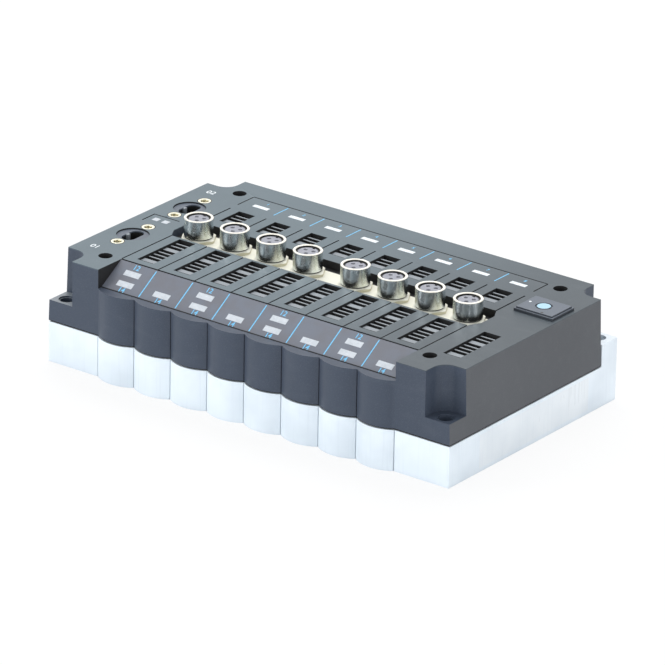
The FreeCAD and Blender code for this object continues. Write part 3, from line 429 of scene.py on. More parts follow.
@dataclass(frozen=True)
class MouldedPlastic(Finish):
    """Plastic from a spark-eroded mould: fine grain, faint clouding, handling marks."""

    colour: Colour
    roughness: float = 0.5
    grain: float = 0.28 * MM
    grain_depth: float = 0.012 * MM
    clouding: float = 0.4

    def sockets(self, sh: Shader) -> dict[str, Term]:
        """Cloud, grain and rub the plastic.

        Args:
            sh: The material's shader.

        Returns:
            Values or links by socket name.
        """
        cloud = sh.noise(14 * MM, 3.0)
        grain = sh.noise(self.grain, 3.0)
        specks = sh.cells(self.grain * 1.7)
        rubbed = sh.noise(5 * MM, 5.0, (1.0, 0.35, 1.0)).above(0.56, 0.72)
        light = tuple(min(1.0, c * 1.25 + 0.01) for c in self.colour)
        dark = tuple(c * 0.8 for c in self.colour)
        base = sh.mix(cloud.above(0.3, 0.7) * self.clouding, self.colour, dark)
        base = sh.mix(grain.above(0.45, 0.75) * 0.25 + rubbed * 0.12, base, light)
        return dict(
            Base_Color=base,
            Roughness=self.roughness + (cloud - 0.5) * 0.12 - rubbed * 0.05,
            Normal=sh.bump(grain * 0.7 + specks * 0.3, self.grain_depth),
        )


@dataclass(frozen=True)
class CoverPlastic(Finish):
    """Blue-grey satin plastic of the cover, with a painted sheen on the flat top that darkens
    towards the right as painted shade, and painted shade in the seam at its foot.
    """

    name: str = "cover_plastic"
    colour: Colour = tone(63, 71, 85)
    # Painted sheen on the flat top, and the painted shade that it turns to towards the right.
    painted_sheen_top: Colour = tone(94, 107, 114)
    painted_shaded_top: Colour = tone(70, 78, 84)
    # Painted shade in the seam at the cover's foot.
    painted_seam_shade: Colour = tone(14, 15, 17)
    roughness: float = 0.40
    seam_shade: float = 0.24 * MM
    skin_low: float = 0.35 * MM
    skin_high: float = 0.12 * MM

    def sockets(self, sh: Shader) -> dict[str, Term]:
        """Paint a sheen on the top, cloud, grain and scuff the plastic, and paint shade into the
        seam.

        Args:
            sh: The material's shader.

        Returns:
            Values or links by socket name.
        """
        cloud = sh.noise(22 * MM, 3.0)
        grain = sh.noise(0.30 * MM, 3.0)
        flow = sh.noise(3.0 * MM, 4.0, (0.25, 1.0, 1.0))
        scuffs = sh.noise(0.5 * MM, 4.0, (1.0, 0.06, 1.0)).above(0.66, 0.76)
        z = sh.along(Axis.Z)
        # Painted light: the flat top takes a lighter colour, a painted sheen, that darkens towards
        # the right as painted shade.
        flat = z.above(LAYOUT.top - self.skin_low, LAYOUT.top - self.skin_high)
        skin = sh.mix(sh.along(Axis.X).above(-20 * MM, 70 * MM), self.painted_sheen_top, self.painted_shaded_top)
        ground = sh.mix(flat, self.colour, skin)
        light = sh.mix(0.14, ground, tone(214, 218, 222))
        dark = sh.mix(0.2, ground, tone(10, 11, 13))
        base = sh.mix(cloud.above(0.32, 0.68) * 0.3, ground, dark)
        base = sh.mix(grain.above(0.45, 0.8) * 0.22 + flow.above(0.5, 0.8) * 0.10, base, light)
        base = sh.mix(scuffs * 0.10, base, light)
        # Painted shade: the wall's lowest band, in the seam over the base, turns almost black.
        seam_shade = 1 - z.above(LAYOUT.foot + self.seam_shade * 0.7, LAYOUT.foot + self.seam_shade)
        return dict(
            Base_Color=sh.mix(seam_shade * 0.9, base, self.painted_seam_shade),
            Roughness=self.roughness + (cloud - 0.5) * 0.14 + (grain - 0.5) * 0.1,
            Specular_IOR_Level=0.3,
            Normal=sh.bump(grain * 0.8 + flow * 0.2, 0.010 * MM),
        )


@dataclass(frozen=True)
class LabelFilm(Finish):
    """Printed film on the sloped face: finer and a little warmer than the plastic."""

    name: str = "label_film"
    colour: Colour = tone(103, 108, 119)
    warm: Colour = tone(100, 98, 103)
    fleck: Colour = tone(126, 129, 137)

    def sockets(self, sh: Shader) -> dict[str, Term]:
        """Cloud and grain the film.

        Args:
            sh: The material's shader.

        Returns:
            Values or links by socket name.
        """
        cloud = sh.noise(6 * MM, 4.0)
        grain = sh.noise(0.16 * MM, 2.0)
        base = sh.mix(cloud.above(0.35, 0.65) * 0.5, self.colour, self.warm)
        return dict(
            Base_Color=sh.mix(grain.above(0.5, 0.8) * 0.2, base, self.fleck),
            Roughness=0.46 + (cloud - 0.5) * 0.2,
            Normal=sh.bump(grain, 0.006 * MM),
        )


@dataclass(frozen=True)
class CoatedAluminium(Finish):
    """Off-white coated aluminium: fine orange peel, faint drawing lines up the faces."""

    name: str = "coated_aluminium"
    colour: Colour = tone(233, 240, 246)
    roughness: float = 0.38
    dull: Colour = tone(196, 205, 214)

    def sockets(self, sh: Shader) -> dict[str, Term]:
        """Cloud, line and peel the coat, and darken it towards the foot.

        Args:
            sh: The material's shader.

        Returns:
            Values or links by socket name.
        """
        cloud = sh.noise(18 * MM, 3.0)
        lines = sh.noise(0.9 * MM, 3.0, (1.0, 1.0, 0.04))
        peel = sh.noise(0.7 * MM, 2.0)
        # Darker towards the foot.
        foot = 1 - sh.along(Axis.Z).above(0.1 * MM, 1.2 * MM)
        base = sh.mix(cloud.above(0.35, 0.7) * 0.35, self.colour, self.dull)
        return dict(
            Base_Color=sh.mix(lines.above(0.5, 0.8) * 0.18 + foot * 0.15, base, self.dull),
            Roughness=self.roughness + (cloud - 0.5) * 0.12 + (lines - 0.5) * 0.08,
            Normal=sh.bump(peel * 0.6 + lines * 0.4, 0.014 * MM),
        )


@dataclass(frozen=True)
class TurnedMetal(Finish):
    """Metal with the fine rings that turning leaves."""

    colour: Colour
    axis: Axis = Axis.Z
    roughness: float = 0.25
    stain: Colour = tone(120, 104, 78)
    stain_share: float = 0.3
    ring: float = 0.16 * MM
    ring_depth: float = 0.006 * MM

    def sockets(self, sh: Shader) -> dict[str, Term]:
        """Ring, scratch and stain the metal.

        Args:
            sh: The material's shader.

        Returns:
            Values or links by socket name.
        """
        stretch = tuple(1.0 if axis is self.axis else 0.03 for axis in Axis)
        scratch = sh.noise(0.10 * MM, 3.0, stretch)
        cloud = sh.noise(3.4 * MM, 3.0)
        rings = sh.along(self.axis).sine(self.ring)
        worn = tuple(c * 0.7 for c in self.colour)
        base = sh.mix(cloud.above(0.42, 0.72) * self.stain_share, self.colour, self.stain)
        return dict(
            Base_Color=sh.mix(scratch.above(0.5, 0.8) * 0.2, base, worn),
            Metallic=1.0,
            Roughness=self.roughness + (scratch - 0.5) * 0.12 + (cloud - 0.5) * 0.06,
            Normal=sh.bump(rings * 0.6 + scratch * 0.4, self.ring_depth),
        )


@dataclass(frozen=True)
class MilkyWindow(Finish):
    """Milky lamp window with a faint painted glow."""

    name: str = "milky_window"
    colour: Colour = tone(196, 200, 206)
    # Strength of the painted glow.
    glow: float = 0.02
    dim: Colour = tone(176, 182, 188)
    bright: Colour = tone(238, 240, 241)

    def sockets(self, sh: Shader) -> dict[str, Term]:
        """Cloud the window, lay fibres in it and give it a painted glow.

        Args:
            sh: The material's shader.

        Returns:
            Values or links by socket name.
        """
        cloud = sh.noise(1.6 * MM, 3.0)
        fibre = sh.noise(0.25 * MM, 3.0, (0.3, 1.0, 1.0))
        base = sh.mix(cloud.above(0.35, 0.7) * 0.5, self.colour, self.dim)
        base = sh.mix(fibre.above(0.5, 0.75) * 0.25, base, self.bright)
        return dict(
            Base_Color=base,
            Roughness=0.22 + fibre * 0.15,
            # Painted light: the window glows in its own colour.
            Emission_Color=base,
            Emission_Strength=self.glow,
            Normal=sh.bump(fibre, 0.004 * MM),
        )


@dataclass(frozen=True)
class PrintInk(Finish):
    """Screen-printed ink with a slightly uneven film."""

    colour: Colour

    def sockets(self, sh: Shader) -> dict[str, Term]:
        """Thin the film here and there.

        Args:
            sh: The material's shader.

        Returns:
            Values or links by socket name.
        """
        film = sh.noise(0.35 * MM, 3.0)
        thin = tuple(c * 0.75 for c in self.colour)
        base = sh.mix(film.above(0.45, 0.75) * 0.4, self.colour, thin)
        return dict(
            Base_Color=base, Roughness=0.45 + film * 0.2, Normal=sh.bump(film, 0.003 * MM)
        )


@dataclass(frozen=True)
class SealRubber(Finish):
    """Matt black rubber with talc in its pores."""

    name: str = "seal_rubber"
    colour: Colour = tone(26, 26, 28)
    talc: Colour = tone(92, 92, 94)

    def sockets(self, sh: Shader) -> dict[str, Term]:
        """Dust the rubber and pit it.

        Args:
            sh: The material's shader.

        Returns:
            Values or links by socket name.
        """
        pores = sh.cells(0.4 * MM)
        dust = sh.noise(3 * MM, 4.0).above(0.5, 0.8)
        base = sh.mix(dust * 0.25, self.colour, self.talc)
        return dict(
            Base_Color=base, Roughness=0.75 + dust * 0.15, Normal=sh.bump(pores, 0.02 * MM)
        )


@dataclass(frozen=True)
class BoardLacquer(Finish):
    """Green solder lacquer with tracks that shine through it."""

    name: str = "board_lacquer"
    colour: Colour = tone(20, 86, 54)
    copper: Colour = tone(42, 128, 78)
    shadow: Colour = tone(12, 62, 38)
    track: float = 1.27 * MM

    def sockets(self, sh: Shader) -> dict[str, Term]:
        """Lay tracks and cloud the lacquer.

        Args:
            sh: The material's shader.

        Returns:
            Values or links by socket name.
        """
        x, y = sh.along(Axis.X), sh.along(Axis.Y)
        lanes = (y + x * 0.2).sine(self.track).above(0.62, 0.72)
        tracks = lanes * x.sine(self.track * 9).above(0.2, 0.25)
        cloud = sh.noise(5 * MM, 3.0)
        base = sh.mix(tracks * 0.8, self.colour, self.copper)
        base = sh.mix(cloud.above(0.4, 0.8) * 0.2, base, self.shadow)
        return dict(
            Base_Color=base, Roughness=0.28 + cloud * 0.1, Normal=sh.bump(tracks, 0.03 * MM)
        )


class Look(Enum):
    """The finishes of the island."""

    COVER = CoverPlastic()
    # Painted light: a lighter, more neutral copy of the cover plastic for the right end wall.
    COVER_LIT_END = CoverPlastic("cover_end_painted_light", tone(80, 82, 86))
    LABEL = LabelFilm()
    JOINT = MouldedPlastic("joint_shadow", tone(18, 19, 21), 0.7)
    SHADE = MouldedPlastic("cover_shade", tone(13, 14, 16), 0.65)
    # A lighter copy of the cover plastic, as painted light on the louvre tops and the foot's top
    # face; the keys of the cable sockets take it too.
    LIT_GREY = MouldedPlastic("lit_grey_plastic", tone(134, 140, 146), 0.45)
    BASE = CoatedAluminium()
    BLANK = CoatedAluminium("blank_sticker", tone(236, 240, 243), 0.3)
    LAMP = MilkyWindow()
    # Painted light: a lighter window with a stronger painted glow, for the windows on the top.
    PAINTED_GLOW_LAMP = MilkyWindow("painted_glow_window", tone(228, 232, 235), 0.08)
    BLUE_INK = PrintInk("light_blue_ink", tone(112, 190, 232))
    PALE_BLUE = PrintInk("pale_blue_disc", tone(168, 204, 222))
    WHITE_INK = PrintInk("white_ink", tone(232, 236, 238))
    NICKEL = TurnedMetal(
        "turned_nickel", tone(228, 234, 234), Axis.Z, 0.15, tone(172, 164, 128), 0.3,
        ring=0.34 * MM, ring_depth=0.018 * MM,
    )
    RIM = TurnedMetal("faced_rim", tone(240, 237, 228), Axis.Z, 0.35, tone(210, 204, 186), 0.2)
    BRASS = TurnedMetal(
        "turned_brass", tone(236, 234, 216), Axis.Z, 0.34, tone(190, 180, 138), 0.2
    )
    THREAD_BRASS = TurnedMetal("thread_brass", tone(150, 142, 112), stain=tone(96, 80, 44))
    PLUG_BRASS = TurnedMetal("plug_brass", tone(206, 176, 112), Axis.Y)
    SPOOL = TurnedMetal("spool_aluminium", tone(190, 192, 196), Axis.Y, 0.2)
    ARMATURE = TurnedMetal("armature_steel", tone(150, 151, 156), Axis.Z, 0.3)
    TIE = TurnedMetal("tie_steel", tone(140, 142, 148), Axis.X, 0.35)
    SCREW = TurnedMetal("screw_steel", tone(92, 94, 100), Axis.Z, 0.35)
    COIL = MouldedPlastic("coil_plastic", tone(38, 39, 42), 0.55)
    CARRIER = MouldedPlastic("carrier_plastic", tone(232, 229, 214))
    # Painted shade: a darker copy of the carrier's cream for the flange's sides.
    FLANGE_SHADE = MouldedPlastic("flange_side_shade", tone(214, 208, 182), 0.45)
    INSERT = MouldedPlastic("insert_plastic", tone(146, 147, 157), 0.4)
    # Black plastic of the socket mouths and marks, also used as painted shade in the collars'
    # bores and grooves, under and round the inserts and on the seat walls.
    BLACK_AND_SHADE = MouldedPlastic("black_and_painted_shade", tone(13, 14, 15))
    CAP = MouldedPlastic("cap_plastic", tone(84, 92, 104), 0.4)
    # Painted shade: a darker copy of the cap plastic for faces that don't look up.
    CAP_SIDE_SHADE = MouldedPlastic("cap_side_shade", tone(44, 49, 57))
    RUBBER = SealRubber()
    BOARD = BoardLacquer()


@cache
def material(look: Look) -> bpy.types.Material:
    """Build the material of a finish, once."""
    return look.value.build()


# --------------------------------------------------------------------------
# Mesh building
# --------------------------------------------------------------------------
class Shape:
    """A mesh under construction. Each added part takes the material index set last."""

    SHARP = math.radians(32)
    CORNER = math.radians(40)
    FLAT = math.radians(0.6)
    WELD = 2e-6
    INK = 0.006 * MM

    def __init__(self) -> None:
        """Start with nothing."""
        self.bm = bmesh.new()
        self.index = 0

    def use(self, index: int) -> "Shape":
        """Give later parts this material index."""
        self.index = index
        return self

    def mark(self, made: Iterable[bmesh.types.BMFace]) -> None:
        """Give new faces the current material index."""
        for face in made:
            face.material_index = self.index

    def lathe(
        self, profile: Sequence[Point], at: Vector, turn: Matrix | None = None, steps: int = 64
    ) -> "Shape":
        """Turn a profile about an axis.

        Args:
            profile: Radius and height of each point, from one end to the other, in metres.
            at: Where the profile's own origin lies.
            turn: Turn of the axis away from +Z.
            steps: Faces round the axis.

        Returns:
            This shape.
        """
        matrix = Matrix.Translation(at) @ (turn or Matrix.Identity(4))
        angles = [math.tau * k / steps for k in range(steps)]
        rings: list[list[bmesh.types.BMVert]] = []
        for radius, height in profile:
            spots = [Vector((radius * math.cos(a), radius * math.sin(a), height)) for a in angles]
            if radius < 1e-9:
                spots = [Vector((0, 0, height))]
            rings.append([self.bm.verts.new(matrix @ spot) for spot in spots])
        made = []
        for low, high in zip(rings, rings[1:]):
            for k in range(steps):
                a, b = low[k % len(low)], low[(k + 1) % len(low)]
                c, d = high[(k + 1) % len(high)], high[k % len(high)]
                corners = list(dict.fromkeys((a, b, c, d)))
                if len(corners) > 2:
                    made.append(self.bm.faces.new(corners))
        self.mark(made)
        return self

    def walls(self, low: Sequence[bmesh.types.BMVert], high: Sequence[bmesh.types.BMVert]) -> None:
        """Join two closed rings of vertices with faces.

        Args:
            low: One ring.
            high: The other, with as many vertices.
        """
        count = len(low)
        pairs = [(k, (k + 1) % count) for k in range(count)]
        self.mark(self.bm.faces.new((low[k], low[n], high[n], high[k])) for k, n in pairs)

    def block(self, low: Vector, high: Vector) -> "Shape":
        """Add a block.

        Args:
            low: Lowest corner.
            high: Highest corner.

        Returns:
            This shape.
        """
        made = bmesh.ops.create_cube(self.bm, size=1.0)["verts"]
        middle, extent = (low + high) / 2, high - low
        for vert in made:
            vert.co = middle + Vector(a * b for a, b in zip(vert.co, extent))
        self.mark({face for vert in made for face in vert.link_faces})
        return self

    def plate(
        self,
        loops: Sequence[Sequence[Point]],
        low: float,
        high: float,
        at: Vector,
        turn: Matrix | None = None,
        edge: float = 0.0,
    ) -> "Shape":
        """Add a flat plate with holes.

        Args:
            loops: The outer outline and then the holes, in metres.
            low: Underside.
            high: Top.
            at: Where the outline's origin lies.
            turn: Turn of the plate away from the flat.
            edge: Rounding of the rims.

        Returns:
            This shape.
        """
        curve = bpy.data.curves.new("plate", "CURVE")
        curve.dimensions = "2D"
        curve.fill_mode = "BOTH"
        curve.extrude = (high - low) / 2 - edge
        curve.bevel_depth = edge
        curve.bevel_resolution = 1
        curve.offset = -edge
        for loop in loops:
            spline = curve.splines.new("POLY")
            spline.points.add(len(loop) - 1)
            for item, (x, y) in zip(spline.points, loop):
                item.co = (x, y, 0, 1)
            spline.use_cyclic_u = True
        lift = Matrix.Translation((0, 0, (low + high) / 2))
        self._take(curve, Matrix.Translation(at) @ (turn or Matrix.Identity(4)) @ lift)
        return self

    def words(self, text: str, size: float, at: Vector, turn: Matrix | None = None) -> "Shape":
        """Add flat digits, centred on a point.

        Args:
            text: The digits.
            size: Height of a digit, in metres.
            at: Centre.
            turn: Turn away from the flat.

        Returns:
            This shape.
        """
        curve = bpy.data.curves.new("digits", "FONT")
        curve.body = text
        curve.size = size * 1.4
        curve.align_x = "CENTER"
        curve.align_y = "CENTER"
        curve.extrude = self.INK
        curve.offset = 0.012 * size
        self._take(curve, Matrix.Translation(at) @ (turn or Matrix.Identity(4)))
        return self

    def _take(self, curve: bpy.types.Curve, matrix: Matrix) -> None:
        """Turn a curve into faces of this shape.

        Args:
            curve: The curve, which is removed.
            matrix: Its place.
        """
        holder = bpy.data.objects.new("holder", curve)
        mesh = bpy.data.meshes.new_from_object(holder)
        mesh.transform(matrix)
        known = set(self.bm.faces)
        self.bm.from_mesh(mesh)
        self.mark(face for face in self.bm.faces if face not in known)
        bpy.data.objects.remove(holder)
        bpy.data.meshes.remove(mesh)
        bpy.data.curves.remove(curve)

    def take_node(self, node: str) -> "Shape":
        """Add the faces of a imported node, welded, with its flat faces in one piece.

        Args:
            node: The CAD node.

        Returns:
            This shape.
        """
        bm = self.bm
        bm.from_mesh(frame["nodes"][node].data)
        bmesh.ops.remove_doubles(bm, verts=bm.verts, dist=self.WELD)
        bmesh.ops.dissolve_limit(
            bm, angle_limit=self.FLAT, verts=bm.verts, edges=bm.edges, delimit=set()
        )
        self.mark(bm.faces)
        return self

    def round_edges(self, width: float, steps: int = 2) -> "Shape":
        """Round the outward edges.

        Args:
            width: Width of the rounding in metres.
            steps: Faces across it.

        Returns:
            This shape.
        """
        edges = [
            edge
            for edge in self.bm.edges
            if edge.is_manifold and edge.is_convex and edge.calc_face_angle(0.0) > self.CORNER
        ]
        bmesh.ops.bevel(
            self.bm, geom=edges, offset=width, offset_type="OFFSET", segments=steps,
            profile=0.5, affect="EDGES", clamp_overlap=True,
        )
        return self

    def mesh(self, name: str) -> bpy.types.Mesh:
        """Finish the mesh with smooth faces and sharp edges.

        Args:
            name: Name of the mesh.

        Returns:
            The mesh.
        """
        bmesh.ops.recalc_face_normals(self.bm, faces=self.bm.faces)
        for face in self.bm.faces:
            face.smooth = True
        mesh = bpy.data.meshes.new(name)
        self.bm.to_mesh(mesh)
        self.bm.free()
        mesh.set_sharp_from_angle(angle=self.SHARP)
        return mesh

    def piece(
        self,
        name: str,
        looks: Iterable[Look],
        slot: str,
        stands_for: str | None = None,
        squeeze: tuple[str, Vector, Vector] | None = None,
    ) -> bpy.types.Object:
        """Make the object, let it ride on the island unless squeeze is given, and log it.

        Args:
            name: Name of the piece.
            looks: Its finishes, by material index.
            slot: The record's material slot; not used.
            stands_for: The CAD node that it replaces.
            squeeze: A second body, the place that follows it and the place that stays; when given,
                only the piece's place is baked in, and the body and places are not used.

        Returns:
            The object.
        """
        obj = bpy.data.objects.new(name, self.mesh(name))
        bpy.context.scene.collection.objects.link(obj)
        for look in looks:
            obj.data.materials.append(material(look))
        self.steady(obj)
        if squeeze:
            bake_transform(obj)
        else:
            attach(obj, "island")
        if stands_for:
            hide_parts(stands_for)
        log.info("piece %s: %d faces", name, len(obj.data.polygons))
        return obj

    @staticmethod
    def steady(obj: bpy.types.Object) -> None:
        """Let the large faces of a piece set its shading.

        Args:
            obj: The piece.
        """
        steady = obj.modifiers.new("steady_normals", "WEIGHTED_NORMAL")
        steady.keep_sharp = True
        steady.weight = 80


def circle_points(radius: float, at: Point = (0.0, 0.0), steps: int = 48) -> list[Point]:
    """Give the points of a circle.

    Args:
        radius: Radius in metres.
        at: Centre.
        steps: Number of points.

    Returns:
        The points, counter-clockwise.
    """
    angles = [math.tau * k / steps for k in range(steps)]
    return [(at[0] + radius * math.cos(a), at[1] + radius * math.sin(a)) for a in angles]


def oval_points(width: float, length: float, steps: int = 16) -> list[Point]:
    """Give the points of an upright oval with round ends.

    Args:
        width: Width along X.
        length: Length along Y.
        steps: Points on each round end.

    Returns:
        The points, counter-clockwise.
    """
    radius, reach = width / 2, (length - width) / 2
    points = []
    for side in (1, -1):
        for k in range(steps + 1):
            angle = math.pi * k / steps + (0 if side > 0 else math.pi)
            points.append((radius * math.cos(angle), reach * side + radius * math.sin(angle)))
    return points


def dress(node: str, look: Look) -> None:
    """Give a CAD node that stays its finish.

    Args:
        node: The node.
        look: Its finish.
    """
    obj = frame["nodes"][node]
    obj.data.materials.clear()
    obj.data.materials.append(material(look))
    log.info("node %s dressed with %s", node, look.value.name)


# --------------------------------------------------------------------------
# Sub-assemblies
# --------------------------------------------------------------------------
@dataclass
class BaseBlock:
    """Aluminium slices and end plates, with threads in their ports."""

    edge: float = 0.22 * MM
    thread_pitch: float = 0.8 * MM
    thread_depth: float = 0.28 * MM
    thread_start: float = 0.6 * MM
    thread_clear: float = 0.02 * MM
    sticker_y: Point = (4 * MM, 60 * MM)
    sticker_z: Point = (1.3 * MM, 12.0 * MM)
    sticker_sink: float = 0.01 * MM
    sticker_lift: float = 0.03 * MM

    def build(self) -> None:
        """Build the rounded blocks, the threads and the blank sticker."""
        slices = [f"valve_slice_{number}" for number in range(1, LAYOUT.slices + 1)]
        for node in ("end_plate_left", "end_plate_right", *slices):
            shape = Shape().take_node(node).round_edges(self.edge)
            shape.piece(f"{node}_block", [Look.BASE], "base_aluminium", node)
        self.threads()
        self.sticker()

    def threads(self) -> None:
        """Build the threads that show in the rear ports."""
        shape = Shape()
        for mount in frame["record"]["mounts"]:
            if mount["kind"] != "threaded_hole":
                continue
            radius = mount["dims"]["r_mm"] * MM
            depth = mount["dims"]["length_mm"] * MM
            profile = [(radius - self.thread_clear, -self.thread_start)]
            for k in range(int((depth - self.thread_start * 2) / self.thread_pitch)):
                start = -self.thread_start - k * self.thread_pitch
                profile.append((radius - self.thread_depth, start - self.thread_pitch * 0.5))
                profile.append((radius - self.thread_clear, start - self.thread_pitch))
            turn = Matrix.Rotation(-math.pi / 2, 4, "X")
            shape.lathe(profile, Vector(mount["pos_m"]), turn, 40)
        shape.piece("port_threads", [Look.BASE], "base_aluminium")

    def sticker(self) -> None:
        """Build the blank sticker on the right end face."""
        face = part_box("end_plate_right")[1].x
        (front, rear), (foot, top) = self.sticker_y, self.sticker_z
        low = Vector((face - self.sticker_sink, LAYOUT.fold + front, foot))
        high = Vector((face + self.sticker_lift, LAYOUT.fold + rear, top))
        Shape().block(low, high).piece("blank_sticker", [Look.BLANK], "base_aluminium")


class Skin(IntEnum):
    """Material indices of the cover, and the finish of each in SKIN_LOOKS."""

    COVER = 0
    LABEL = 1
    JOINT = 2
    SHADE = 3
    FOOT = 4
    LIT_END = 5


SKIN_LOOKS = {
    Skin.COVER: Look.COVER,
    Skin.LABEL: Look.LABEL,
    Skin.JOINT: Look.JOINT,
    Skin.SHADE: Look.SHADE,
    Skin.FOOT: Look.LIT_GREY,
    Skin.LIT_END: Look.COVER_LIT_END,
}


@dataclass
class CoverShell:
    """The moulded cover with its label face, joints and printed marks.

    Fields without MM are in millimetres from the row's left line, the fold and the top.
    """

    edge: float = 0.22 * MM
    joint_width: float = 0.48 * MM
    joint_depth: float = 0.6 * MM
    cusp_groove: float = 0.24 * MM
    along_axis: float = 0.9
    fold_reach: float = 0.2 * MM
    top_skin: float = 0.3 * MM
    end_skin: float = 2 * MM
    foot_drop: float = 12 * MM
    foot_clear: float = 10 * MM
    row_end_reach: float = 0.6 * MM
    shade_x: Point = (0.8 * MM, 13.5 * MM)
    shade_y: Point = (1.4 * MM, 56 * MM)
    seat_reach: float = 5.7 * MM
    well_reach: float = 2.7 * MM
    joint_gap: float = 0.03
    slot_overlap: float = 0.5
    slot_front: float = 24.6
    slot_rear: float = 39.0
    rear_windows_end: float = 54.0
    rear_line: float = 66.0
    rear_line_ends: Point = (57.7, 58.4)
    status_corner: Point = (-15, 35.1)
    status_reach: Point = (-5.3, 29)
    window_x: Point = (3.8, 10.0)
    spare_window: float = 115.0
    front_louvres: tuple[float, ...] = (2.8, 2.2, 0.8, 0.8, 0.8, 2.2, 0.8, 0.8)
    rear_louvres: tuple[float, ...] = (43.5, 2.2, 0.8, 0.8)
    slit: float = 1.56
    louvre_foot: float = 1.52
    louvre_sink: float = 0.75
    louvre_edge: float = 0.1 * MM
    louvre_clear: float = 0.02
    line_width: float = 0.36 * MM
    line_ends: Point = (0.7, 11.0)
    rear_line_width: float = 0.34 * MM
    rear_stripe_ends: Point = (57.7, 65.3)
    ink: float = 0.012 * MM
    ink_lift: float = 0.01
    label_digits: float = 1.8 * MM
    label_rows: Point = (10.45, 1.7)
    rear_digits: float = 1.3 * MM
    rear_digit_spot: Point = (0.3, 63.6)
    socket_digits: float = 2.3 * MM
    socket_digit_spots: tuple[tuple[str, float, float], ...] = (
        ("01", -12.6, 2.8), ("02", -12.6, 60.4),
    )

    @cached_property
    def wells(self) -> list[tuple[Vector, float]]:
        """Centre and reach of each round seat and screw well."""
        seats = [(middle_of(node), self.seat_reach) for node in ("power_socket", "bus_socket")]
        return seats + [(at, self.well_reach) for at, _ in Screws().places()]

    def build(self) -> None:
        """Build the shell and what is printed on it."""
        shape = Shape().take_node("cover").round_edges(self.edge)
        for face in shape.bm.faces:
            face.material_index = self.skin(face)
        shell = shape.piece("cover_shell", SKIN_LOOKS.values(), "cover_plastic", "cover")
        self.engrave(shell)
        self.louvre_tops()
        self.blue_print()
        self.white_print()

    def skin(self, face: bmesh.types.BMFace) -> Skin:
        """Tell what a face of the cover shows: its plastic, the film, painted light or painted
        shade.

        Args:
            face: A face of the shell before its joints are cut.

        Returns:
            The material index.
        """
        middle, normal = face.calc_center_median(), face.normal
        x, y, z = middle
        sloped = normal.z > 0.6 and normal.y < -0.3
        in_row = LAYOUT.row_left < x < LAYOUT.row_right
        if in_row and sloped and y < LAYOUT.fold + self.fold_reach:
            return Skin.LABEL
        if z > LAYOUT.top - self.top_skin:
            return Skin.COVER
        # Painted light: the right end wall takes the lighter end plastic.
        if normal.x > self.along_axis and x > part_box("cover")[1].x - self.end_skin:
            return Skin.LIT_END
        # Painted light: the foot's upward faces take the lighter grey.
        low = z < LAYOUT.top - self.foot_drop and x < LAYOUT.row_left - self.foot_clear
        if low and normal.z > self.along_axis:
            return Skin.FOOT
        to_end = min(abs(x - LAYOUT.row_left), abs(x - LAYOUT.row_right))
        if to_end < self.row_end_reach and abs(normal.x) > self.along_axis and y < LAYOUT.fold:
            return Skin.SHADE
        behind = LAYOUT.fold + self.shade_y[0] < y < LAYOUT.fold + self.shade_y[1]
        across = LAYOUT.row_left - self.shade_x[0] < x < LAYOUT.row_right + self.shade_x[1]
        in_well = any(math.hypot(x - at.x, y - at.y) < reach for at, reach in self.wells)
        return Skin.SHADE if in_well or (behind and across) else Skin.COVER

    def louvre_tops(self) -> None:
        """Build the tops of the louvres between the slits of every window."""
        shape = Shape()
        offsets = [k * LAYOUT.pitch / MM for k in range(LAYOUT.slices)]
        windows = [(self.front_louvres, x) for x in (*offsets, self.spare_window)]
        windows += [(self.rear_louvres, x) for x in offsets]
        for louvres, x in windows:
            left, right = (x + side for side in self.window_x)
            y = louvres[0]
            for width in louvres[1:]:
                y += self.slit
                low = LAYOUT.at(left + self.louvre_clear, y, -self.louvre_foot)
                high = LAYOUT.at(right - self.louvre_clear, y + width, -self.louvre_sink)
                shape.block(low, high)
                y += width
        shape.round_edges(self.louvre_edge, 1)
        # Painted light on the louvre tops, painted shade on their sides.
        for face in shape.bm.faces:
            face.material_index = 0 if face.normal.z > self.along_axis else 1
        shape.piece("louvre_tops", [Look.LIT_GREY, Look.SHADE], "cover_plastic")

    def joints(self) -> Iterator[tuple[Vector, Vector]]:
        """Give the joint lines of the flat top.

        Returns:
            Start and end of each line, one after the other.
        """
        at, pitch = LAYOUT.at, LAYOUT.pitch / MM
        clear = self.joint_width / MM / 2 + self.joint_gap
        for k in range(LAYOUT.slices + 1):
            x = k * pitch
            yield at(x, clear), at(x, self.slot_front + self.slot_overlap)
            yield at(x, self.slot_rear - self.slot_overlap), at(x, self.rear_windows_end)
        width = LAYOUT.slices * pitch
        yield at(0, 0), at(width, 0)
        yield at(0, self.rear_line), at(width, self.rear_line)
        for x, start in zip((0, width), self.rear_line_ends):
            yield at(x, start), at(x, self.rear_line - clear)
        (left, rear), (right, front) = self.status_corner, self.status_reach
        yield at(left, front), at(left, rear - clear)
        yield at(left - clear, rear), at(right, rear)

